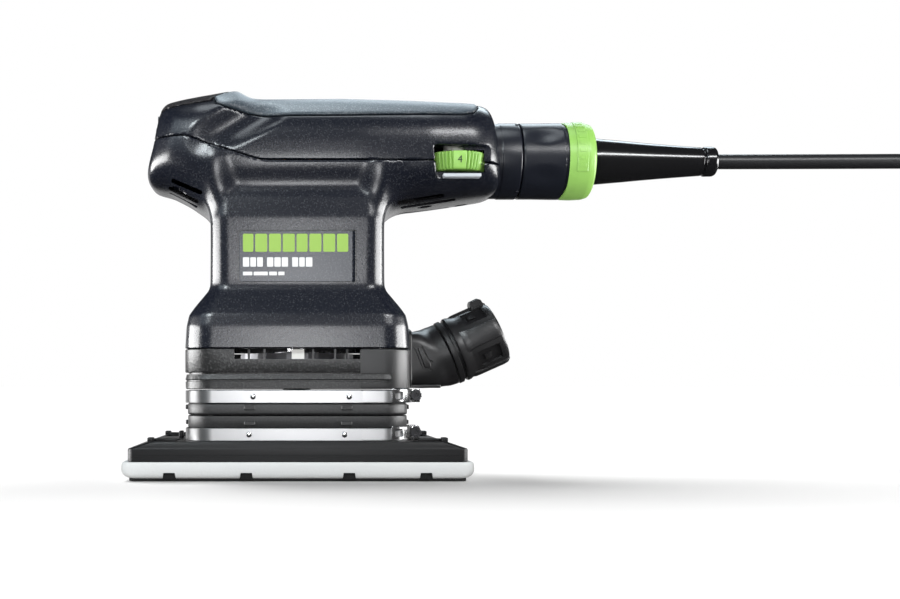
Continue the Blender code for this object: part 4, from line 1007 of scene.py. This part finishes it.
# fixed elbow: a square mouth on the ring that rounds off and turns up into the sleeve
rings = []
S = 48
for t in np.linspace(0, 1, 15):
    ring = []
    turn = TILT * min(1, max(0, (t - .12) / .5)) ** 1.0
    c = np.array([43.4, 0, 46.6]) * (1 - t) ** 2 + 2 * t * (1 - t) * np.array([54.0, 0, 46.2]) + t * t * (PORT - PA * 3.4)
    ax_u = np.array([-math.sin(turn), 0, math.cos(turn)])
    p = 6.0 - 4.0 * min(1, t * 1.35)
    hy, hz = 13.0 + .1 * t, 10.9 + 1.6 * min(1, t * 1.3) + (0.5 * t)
    for i in range(S):
        a = 2 * math.pi * i / S
        ca, sa = math.cos(a), math.sin(a)
        k = (abs(ca) ** p + abs(sa) ** p) ** (-1 / p)
        q = c + PY * (-ca * k * hy) + ax_u * (sa * k * hz)
        ring.append(tuple(q))
    rings.append(ring)
elbow = loft("elbow", rings, MATTE, 45)
bore = port_lathe("bore", [(-14, 0.01), (-14, 10.6), (4, 10.6), (4, 0.01)], None, 48)
boolean(elbow, bore, angle=45)
boolean(elbow, box("bore", 40, 56, -10.4, 10.4, 38.0, 55.0), angle=45)


def side_outline(name, pts, w, y0, y1, mat=None):
    """Thin strokes along a polyline in XZ, between two depths."""
    obs = []
    for i in range(len(pts) - 1):
        (ax_, az), (bx, bz) = pts[i], pts[i + 1]
        dx, dz = bx - ax_, bz - az
        L = math.hypot(dx, dz)
        ux, uz = dx / L, dz / L
        e = w / 2
        nx, nz = -uz * e, ux * e
        obs.append(prism(name, [(ax_ - ux * e + nx, az - uz * e + nz), (ax_ - ux * e - nx, az - uz * e - nz),
                                (bx + ux * e - nx, bz + uz * e - nz), (bx + ux * e + nx, bz + uz * e + nz)], y0, y1, mat))
    return obs


# locking tongue let into each side of the elbow, framed by a slot
TONGUE = [(46.6, 51.2), (50.2, 42.6), (53.2, 42.4)]
TONGUE2 = [(49.6, 51.6), (52.4, 46.2), (53.6, 45.8)]
for s in (-1, 1):
    for line, w in ((TONGUE, .55), (TONGUE2, .8)):
        for o in side_outline("slot", line, w, min(s * 11.6, s * 16), max(s * 11.6, s * 16)):
            boolean(elbow, o, angle=45)
tongues = []
for s in (-1, 1):
    y0, y1 = sorted((s * 12.4, s * 13.75))
    t_ = prism("tongue", [(47.9, 51.2), (49.3, 51.4), (52.2, 46.0), (53.2, 45.4), (53.2, 43.2), (50.8, 43.3)], y0, y1, MATTE)
    round_edges(t_, .3)
    tongues.append(t_)
# rib below the mouth, and the collar that meets the ring
sill = box("sill", 43.4, 57.5, -11.2, 11.2, 35.2, 36.6, MATTE)
round_edges(sill, .4)
collar = ring_wall("collar", [(0, .4), (.4, 0), (2.3, 0), (2.7, .4)], 13.9, 11.6, 3.6, 2.5, SMOOTH_BLACK, 0, 3)
collar.data.transform(Matrix.Translation((43.0 * MM, 0, 46.9 * MM)) @ Matrix.Rotation(math.radians(90), 4, "Z") @ Matrix.Rotation(math.radians(90), 4, "X"))
step = prism("step", [(43.2, 57.0), (43.2, 59.4), (45.3, 58.9), (47.4, 56.6)], -8, 8, SMOOTH_BLACK)
round_edges(step, .3)
piece(join("dust_elbow_skin", [elbow, sill, collar, step] + tongues), "housing", "dust_elbow")


# turning sleeve: locking collar, then a barrel with deep windows between four lands
def land(a):
    """1 on the lands between the four windows, 0 in the windows."""
    t = (math.degrees(a) - 8) % 90
    return 0.0 if 18 < t < 72 else 1.0


sleeve = port_lathe("sleeve", [(-2.9, 10.9), (-2.9, 12.9), (-2.5, 13.35), (-.9, 13.35), (-.5, 12.9), (-.5, 12.35), (.5, 12.35),
                               (.6, 13.2), (1.1, 13.55), (2.2, 13.5), (4.6, 12.75), (5.6, 12.6), (18.3, 12.6), (19.2, 12.3), (19.6, 11.9),
                               (19.6, 10.9)], MATTE, 96)
parts = [sleeve]
for k in range(4):
    c = math.radians(8 + 90 * k)
    # land: a raised bar running to the mouth, wide at the collar and ending in a bevel
    rings = []
    for d, w, r in ((3.4, 21, 13.1), (4.6, 19.5, 13.45), (6.4, 17.5, 13.5), (8.5, 16.5, 13.5), (17.0, 16.5, 13.5), (18.6, 16.0, 13.3), (19.5, 15.2, 12.6)):
        w = math.radians(w)
        ring = [port_pt(d, 11.6, c - w), port_pt(d, r - .25, c - w)]
        ring += [port_pt(d, r, c + u * w) for u in np.linspace(-.94, .94, 9)]
        ring += [port_pt(d, r - .25, c + w), port_pt(d, 11.6, c + w)]
        rings.append(ring)
    parts.append(loft("land", rings, MATTE, 40))
for k in range(4):
    c = math.radians(53 + 90 * k)
    w = math.radians(17)
    cutter = loft("window", [[port_pt(d, r, c + u * w) for r, u in ((11.65, -1), (16, -1), (16, 0), (16, 1), (11.65, 1), (11.65, 0))]
                             for d in (7.4, 16.6)], None, 40)
    boolean(sleeve, cutter, angle=35)
    # catch in the window
    rings = []
    for d, r in ((9.2, 11.7), (9.6, 12.25), (11.0, 12.3), (12.6, 11.7)):
        ring = [port_pt(d, 11.3, c - .11), port_pt(d, r, c - .11), port_pt(d, r, c + .11), port_pt(d, 11.3, c + .11)]
        rings.append(ring)
    parts.append(loft("catch", rings, MATTE, 40))
# lug on the top
rings = []
for d, r in ((13.0, 12.4), (13.3, 14.6), (13.8, 15.5), (17.4, 15.6), (18.3, 14.9), (18.9, 12.4)):
    w = .26
    rings.append([port_pt(d, 11.5, math.pi / 2 - w), port_pt(d, r, math.pi / 2 - w * .85), port_pt(d, r + .12, math.pi / 2),
                  port_pt(d, r, math.pi / 2 + w * .85), port_pt(d, 11.5, math.pi / 2 + w)])
parts.append(loft("lug", rings, MATTE, 40))
sl = join("dust_sleeve_skin", parts)
piece(sl, "port", "dust_sleeve")


# -------------------------------------------------------------- lead connector
def x_lathe(name, profile, mat, seg=96, fn=None, angle=32, closed=False):
    """Turned about the lead's axis; fn(x, r, a) -> (x, r), with a = 0 on the near side and 90 degrees on top."""
    rings = []
    for i in range(seg):
        a = 2 * math.pi * i / seg
        ring = []
        for x, r in profile:
            if fn:
                x, r = fn(x, r, a)
            ring.append((x, -r * math.cos(a), AXIS_Z + r * math.sin(a)))
        rings.append(ring)
    n = len(profile)
    verts = [p for r in rings for p in r]
    faces = []
    for i in range(seg):
        j = (i + 1) % seg
        for k in range(n if closed else n - 1):
            l = (k + 1) % n
            faces.append((i * n + k, i * n + l, j * n + l, j * n + k))
    ob = obj_from(name, verts, faces, mat, angle)
    bm = bmesh.new()
    bm.from_mesh(ob.data)
    bmesh.ops.remove_doubles(bm, verts=bm.verts[:], dist=2e-6)
    bmesh.ops.recalc_face_normals(bm, faces=bm.faces[:])
    bm.to_mesh(ob.data)
    bm.free()
    shade(ob, angle)
    return ob


sock = [x_lathe("socket", rounded_profile([(77.0, 0.005), (77.0, 15.1), (81.5, 15.1), (82.0, 15.35), (89.1, 15.35), (89.6, 15.0), (89.75, 14.6), (89.75, 0.005)], .2), SATIN)]
for a in (62, 118, 242, 298):
    t = math.radians(a)
    r0 = 15.3
    m = box("tick", 88.0, 89.4, -.5, .5, -.4, .35, SATIN)
    round_edges(m, .15)
    m.data.transform(Matrix.Translation((0, -r0 * math.cos(t) * MM, (AXIS_Z + r0 * math.sin(t)) * MM)) @ Matrix.Rotation(math.pi / 2 - t, 4, "X"))
    sock.append(m)
piece(join("socket_skin", sock), "housing", "inlet_socket")


def conn_field(x, y, z):
    """Connector barrel with two shallow finger dimples on the near side and two on the far side."""
    dz = z - AXIS_Z
    rr = np.hypot(y, dz)
    dip = 0 * x
    for s in (-1, 1):
        u = (np.arctan2(dz, np.abs(y)) - s * 0.56) * 15.3
        e = np.clip(np.sqrt(((x - 98.9) / 8.7) ** 2 + (u / 5.4) ** 2), 0, 1)
        dip = dip + 0.75 * (1 - e * e * (3 - 2 * e))
    f = rr - 15.3 - 0.12 * np.clip((x - 96) / 8, 0, 1) + dip
    f = smax(f, 90.05 - x, .5)
    return smax(f, x - 107.05, .25)


cb = skin("connector_skin", conn_field, (88, -17, 110), (109, 17, 146), .42, SATIN, 2, 40)
under = x_lathe("under", [(106.6, 10.8), (106.6, 14.95), (110.2, 14.95), (110.2, 14.2), (119.1, 10.95), (119.1, 10.8)], SATIN, closed=True)
conn = join("connector_body_skin", [cb, under])
piece(conn, "housing", "connector_body")


def ring_edge(x, r, a):
    if x < 108.2:
        x = x + 2.5 * abs(math.cos(a)) ** 1.6
    return x, r


green = [x_lathe("lock", rounded_profile([(107.15, 15.0), (107.2, 15.35), (107.9, 15.5), (112, 15.62), (116.4, 15.4), (118.6, 14.75), (119.45, 13.4), (119.45, 11.4)], .5)
                 + [(107.6, 15.0)], GREEN, 144, ring_edge, closed=True)]
# raised panel with plain ribs on the near and far sides
for side in (0, math.pi):
    def shell_patch(name, x0, x1, a0, a1, r0, r1, mat, n=28, ch=.16):
        rings = []
        for t in np.linspace(a0, a1, n):
            a = side + t if side == 0 else side - t
            rings.append([(x, -r * math.cos(a), AXIS_Z + r * math.sin(a)) for x, r in
                          ((x0, r0), (x0, r1 - ch), (x0 + ch, r1), (x1 - ch, r1), (x1, r1 - ch), (x1, r0))])
        return loft(name, rings, mat, 40)
    green.append(shell_patch("panel", 111.2, 115.6, math.radians(-24), math.radians(72), 15.0, 15.88, GREEN))
    for k in range(8):
        a0 = -18 + 10.9 * k
        green.append(shell_patch("rib", 112.0, 114.6, math.radians(a0), math.radians(a0 + 5.2), 15.4, 16.02, GREEN, 6, .08))
piece(join("lock_ring_skin", green), "twist_lock", "locking_ring")

boot = x_lathe("boot", rounded_profile([(119.0, 9.0), (119.7, 9.35), (122, 9.3), (126, 8.95), (133, 8.35), (141, 7.6), (150, 6.85),
                                        (158, 6.25), (165.2, 5.75), (165.4, 5.1), (165.9, 5.1), (166.1, 5.75), (166.6, 6.05), (169.9, 6.0), (170.8, 5.6), (171.1, 4.9), (171.1, 3.05)], .25)
               + [(119.0, 3.05)], GLOSS, 64, closed=True)
piece(boot, "housing", "cable_boot")

# -------------------------------------------------------------------- lead
def smoothed(pts, step=1.5):
    """Catmull-Rom curve through the points, resampled evenly (mm)."""
    P = np.array(pts, float)
    P = np.vstack([2 * P[0] - P[1], P, 2 * P[-1] - P[-2]])
    out = []
    for i in range(1, len(P) - 2):
        for t in np.linspace(0, 1, 24, endpoint=False):
            a, b, c, d = P[i - 1], P[i], P[i + 1], P[i + 2]
            out.append(.5 * (2 * b + (c - a) * t + (2 * a - 5 * b + 4 * c - d) * t * t + (3 * b - a - 3 * c + d) * t ** 3))
    out.append(P[-2])
    out = np.array(out)
    L = np.concatenate([[0], np.cumsum(np.linalg.norm(np.diff(out, axis=0), axis=1))])
    n = int(L[-1] / step)
    s = np.linspace(0, L[-1], n)
    return np.stack([np.interp(s, L, out[:, k]) for k in range(3)], 1)


def drop_curve(p0, p1, n):
    """Two equal arcs, opposite in turn, level along +X at both ends."""
    p0, p1 = np.array(p0, float), np.array(p1, float)
    side = np.array([0, p1[1] - p0[1], p1[2] - p0[2]])
    turn = 2 * math.atan2(np.linalg.norm(side), p1[0] - p0[0])
    r = (p1[0] - p0[0]) / (2 * math.sin(turn))
    side /= np.linalg.norm(side)
    first = [p0 + np.array([r * math.sin(turn * i / n), 0, 0]) + side * r * (1 - math.cos(turn * i / n)) for i in range(n + 1)]
    return first + [p1 - (q - p0) for q in reversed(first[:-1])]


def eased(t):
    return t * t * (3 - 2 * t)


CX, CY, PLUG_Z, BEND = 313.0, 0.0, 33.7, 26.0
route = [(170.5, 0, 127.8), (180, 0, 127.8), (205, 0, 127.86), (230, 0, 127.95)] + \
        [tuple(q) for q in drop_curve((252, 0, 128.0), (285, -52.4, 3.1), 16)] + [(299, -52.4, 3.1)]
coil = []
phi, state = -90.0, (52.4, 3.1)
for arc, r1, z1 in ((1130, 29.4, 3.1), (100, 29.4, 9.25), (1125, 52.4, 9.25), (80, 52.4, 15.4), (1130, 29.4, 15.4),
                    (100, 29.4, 21.55), (1125, 50.0, 21.55), (70, 50.0, PLUG_Z)):
    r0, z0 = state
    n = max(7, int(arc / 9))
    for k in range(n):
        t = k / n
        a = math.radians(phi + arc * t)
        rr = r0 + (r1 - r0) * t
        coil.append((CX + rr * math.cos(a), CY + rr * math.sin(a), z0 + (z1 - z0) * eased(t)))
    phi += arc
    state = (r1, z1)
print("coil ends at", phi % 360)
PLUG_AT = (287.0, 13.0, PLUG_Z)
tail = [(CX + BEND * math.cos(math.radians(a)), 50.0 - BEND + BEND * math.sin(math.radians(a)), PLUG_Z) for a in range(90, 181, 9)]
tail += [(287.0, 18.0, PLUG_Z), (287.0, 8.0, PLUG_Z)]
path = smoothed(route + coil + tail, 1.6)
length = np.linalg.norm(np.diff(path, axis=0), axis=1).sum()
print("lead length mm", round(length, 1))
cu = bpy.data.curves.new("lead", "CURVE")
cu.dimensions = "3D"
cu.bevel_depth = 3.0 * MM
cu.bevel_resolution = 5
cu.use_fill_caps = True
sp = cu.splines.new("POLY")
sp.points.add(len(path) - 1)
sp.points.foreach_set("co", np.hstack([path * MM, np.ones((len(path), 1))]).ravel())
sp.use_smooth = True
cu.materials.append(CORD)
lead = bpy.data.objects.new("mains_lead", cu)
bpy.context.scene.collection.objects.link(lead)
piece(lead, "housing", "mains_cord", "cord_tail", "cord_coil")


# plug: flat two-pin contour plug, its own frame along +Y
def plug_field(x, y, z):
    """Body of the plug: narrow where the lead comes in, full at its face, with finger grooves across the waist."""
    t = np.clip((y - 6) / 28, 0, 1)
    t = t * t * (3 - 2 * t)
    hx, hz = 5.6 + 12.2 * t, 4.9 + 4.1 * t
    r = ((np.abs(x) / hx) ** 2.6 + (np.abs(z) / hz) ** 2.6) ** (1 / 2.6)
    f = (r - 1) * np.minimum(hx, hz)
    f = smax(f, -y, 1.2)
    f = smax(f, y - 43.8, 1.2)
    for g in (13.0, 16.4, 19.8):
        f = smax(f, smin(.8 - np.abs(y - g), f + .7, .3), .3)
    return smax(f, 1.1 - np.hypot(np.abs(y - 43.8), (np.abs(z) - 6.2)), .3)


body = skin("plug_body", plug_field, (-20, -2, -10.5), (20, 46, 10.5), .55, SATIN, 1, 45)
relief = []
for k in range(5):
    relief.append(lathe("r", rounded_profile([(-11 + 2.5 * k, 3.02), (-11 + 2.5 * k, 4.3 + .22 * k), (-9.2 + 2.5 * k, 4.4 + .22 * k), (-9.2 + 2.5 * k, 3.02)], .25), SATIN, 40, "y", (0, 0, 0), closed=True))
relief.append(lathe("r", [(-11, 3.02), (-11, 3.7), (2, 4.6), (2, 3.02)], SATIN, 40, "y", closed=True))
pins = []
for sx in (-1, 1):
    pins.append(lathe("p", rounded_profile([(43.0, 0.005), (43.0, 2.4), (52.5, 2.4), (52.5, 2.2), (53, 0.005)], .1), SATIN, 32, "y", (sx * 9.5, 0, 0)))
    pins.append(lathe("p", rounded_profile([(51.0, 0.005), (51.0, 2.25), (61.4, 2.25), (62.9, 1.2), (63, 0.005)], .6), BRIGHT, 32, "y", (sx * 9.5, 0, 0)))
plug = join("mains_plug_skin", [body] + relief + pins)
plug.data.transform(Matrix.Translation(Vector(PLUG_AT) * MM) @ Matrix.Rotation(math.pi, 4, "Z"))
piece(plug, "housing", "mains_plug")

# ------------------------------------------------------- parts kept from CAD
KEEP = {"cooling_fan": SMOOTH_BLACK, "rotor_shaft": BRIGHT, "eccentric": LAMINATE, "armature_core": LAMINATE, "commutator": COPPER,
        "stator_core": LAMINATE, "field_coil_near": COPPER, "field_coil_far": COPPER, "lower_bearing": BRIGHT, "upper_bearing": BRIGHT,
        "pad_bearing": BRIGHT, "bearing_plate": SMOOTH_BLACK, "bearing_bridge": SMOOTH_BLACK, "bearing_hub": SMOOTH_BLACK,
        "carbon_brush_near": CARBON, "carbon_brush_far": CARBON, "brush_holder_near": BRIGHT, "brush_holder_far": BRIGHT,
        "pad_leg_1": RUBBER, "pad_leg_2": RUBBER, "pad_leg_3": RUBBER, "pad_leg_4": RUBBER, "control_board": BOARD,
        "dial_potentiometer": WHITE_PLASTIC, "switch_module": WHITE_PLASTIC, "cover_screw_1": SCREW, "cover_screw_2": SCREW,
        "cover_screw_3": SCREW, "cover_screw_4": SCREW}
for node, m in KEEP.items():
    ob = frame["nodes"][node]
    ob.data.materials.clear()
    ob.data.materials.append(m)


# ------------------------------------------------------------ camera and light
def camera():
    cd = bpy.data.cameras.new("camera")
    cd.lens, cd.sensor_width = 46.0, 36.0
    cd.shift_x, cd.shift_y = 0.1833, 0.0972
    cd.clip_start, cd.clip_end = 0.01, 50
    ob = bpy.data.objects.new("camera", cd)
    ob.location = (-0.0048, -0.471, 0.0356)
    ob.rotation_euler = (math.radians(90), 0, 0)
    bpy.context.scene.collection.objects.link(ob)
    bpy.context.scene.camera = ob


def area(name, at, toward, size, power, color=(1, 1, 1), spread=180):
    ld = bpy.data.lights.new(name, "AREA")
    ld.shape = "RECTANGLE"
    ld.size, ld.size_y = size
    ld.energy = power
    ld.color = color
    ld.spread = math.radians(spread)
    ob = bpy.data.objects.new(name, ld)
    ob.location = at
    d = Vector(toward) - Vector(at)
    ob.rotation_euler = d.to_track_quat("-Z", "Y").to_euler()
    bpy.context.scene.collection.objects.link(ob)
    return ob


camera()
world = bpy.data.worlds.new("studio")
bpy.context.scene.world = world
world.use_nodes = True
wt = world.node_tree
bg = wt.nodes["Background"]
tc = wt.nodes.new("ShaderNodeTexCoord")
sep = wt.nodes.new("ShaderNodeSeparateXYZ")
wt.links.new(tc.outputs["Generated"], sep.inputs[0])
drop = wt.nodes.new("ShaderNodeMath")
drop.operation = "ABSOLUTE"
wt.links.new(sep.outputs["Z"], drop.inputs[0])
level = wt.nodes.new("ShaderNodeMath")
level.operation = "MULTIPLY_ADD"
level.inputs[1].default_value = -2.1
wt.links.new(drop.outputs[0], level.inputs[0])
wt.links.new(sep.outputs["Y"], level.inputs[2])
ramp = wt.nodes.new("ShaderNodeMapRange")
ramp.interpolation_type = "SMOOTHSTEP"
for key, v in (("From Min", 0.35), ("From Max", 0.85), ("To Min", 0.03), ("To Max", 0.9)):
    ramp.inputs[key].default_value = v
seen = wt.nodes.new("ShaderNodeLightPath")
mix = wt.nodes.new("ShaderNodeMix")
mix.data_type = "RGBA"
mix.inputs["B"].default_value = (1, 1, 1, 1)
wt.links.new(level.outputs[0], ramp.inputs["Value"])
wt.links.new(seen.outputs["Is Camera Ray"], mix.inputs["Factor"])
wt.links.new(ramp.outputs["Result"], mix.inputs["A"])
wt.links.new(mix.outputs["Result"], bg.inputs["Color"])
bg.inputs["Strength"].default_value = 1.0

floor = rbox("floor", 60000, 60000, 1, [(-2.0, 0), (-0.05, 0)], surface("floor_paint", (0.86, 0.86, 0.86), 0.8, spec=0.0))
floor.visible_glossy = False
off_floor = bpy.data.collections.new("off_floor")
off_floor.objects.link(floor)
off_floor.collection_objects[0].light_linking.link_state = "EXCLUDE"


on_floor = bpy.data.collections.new("on_floor")
on_floor.objects.link(floor)


off_bands = bpy.data.collections.new("off_bands")
for ob in (floor, foam, upper_band_ob, lower_band_ob) + tuple(o for o in bpy.data.objects if "buckle_skin" in o.name):
    off_bands.objects.link(ob)
for item in off_bands.collection_objects:
    item.light_linking.link_state = "EXCLUDE"


on_bands = bpy.data.collections.new("on_bands")
for ob in off_bands.objects:
    if ob is not floor:
        on_bands.objects.link(ob)


def box_light(name, at, toward, size, power, color=(1, 1, 1), receivers=off_floor):
    ob = area(name, at, toward, size, power, color)
    ob.light_linking.receiver_collection = receivers
    return ob


box_light("left_box", (-0.70, -0.06, 0.085), (0, -0.02, 0.085), (0.75, 0.25), 13.0, receivers=off_bands)
box_light("right_box", (0.80, -0.06, 0.11), (0.03, -0.02, 0.085), (0.75, 0.30), 13.0, receivers=off_bands)
box_light("left_low", (-0.70, -0.06, 0.06), (0, -0.02, 0.03), (0.50, 0.16), 1.0, receivers=on_bands)
box_light("right_low", (0.80, -0.06, 0.06), (0, -0.02, 0.03), (0.50, 0.16), 1.1, receivers=on_bands)
box_light("rear_box", (0.22, 0.52, 0.66), (0.03, 0.0, 0.14), (0.50, 0.26), 2.5, (0.80, 0.92, 1.0))
box_light("front_box", (0.004, -0.53, 0.108), (0, 0, 0.08), (0.10, 0.13), 0.58, (0.97, 0.98, 1.0))
on_grip = bpy.data.collections.new("on_grip")
on_grip.objects.link(grip)
box_light("grip_sky", (-0.20, 0.10, 0.90), (0.0, 0.0, 0.15), (0.60, 0.60), 9.5, (0.80, 0.93, 1.0), receivers=on_grip)
box_light("key_left", (-0.27, -0.68, 0.54), (0, 0, 0.10), (0.18, 0.16), 3.2, (0.90, 0.97, 1.0))
box_light("side_left", (-0.46, -0.44, 0.50), (-0.02, 0, 0.13), (0.46, 0.36), 1.1, (0.78, 0.91, 1.0))
box_light("low_box", (0.0, -0.52, 0.012), (0, 0, 0.03), (0.30, 0.05), 0.08)
box_light("key_right", (0.47, -0.68, 0.54), (0.12, 0, 0.12), (0.46, 0.09), 4.2, (0.98, 0.99, 1.0))
box_light("top_box", (0.0, -0.10, 0.90), (0.0, 0.0, 0.12), (0.5, 0.3), 2.2, (0.88, 0.95, 1.0))

for name, energy, spread, lean, side in (("overhead", 2.7, 40, -26, -24), ("overhead_left", 1.0, 34, -30, 34)):
    sd = bpy.data.lights.new(name, "SUN")
    sd.energy = energy
    sd.angle = math.radians(spread)
    so = bpy.data.objects.new(name, sd)
    so.rotation_euler = (math.radians(lean), math.radians(side), 0)
    so.light_linking.receiver_collection = on_floor
    bpy.context.scene.collection.objects.link(so)

fd = bpy.data.lights.new("floor_fill", "SUN")
fd.energy = 1.0
fd.use_shadow = False
fo = bpy.data.objects.new("floor_fill", fd)
fo.light_linking.receiver_collection = on_floor
bpy.context.scene.collection.objects.link(fo)

sc = bpy.context.scene
sc.view_settings.view_transform = "Standard"
sc.view_settings.look = "None"
sc.view_settings.exposure = 0.0
sc.view_settings.gamma = 1.0
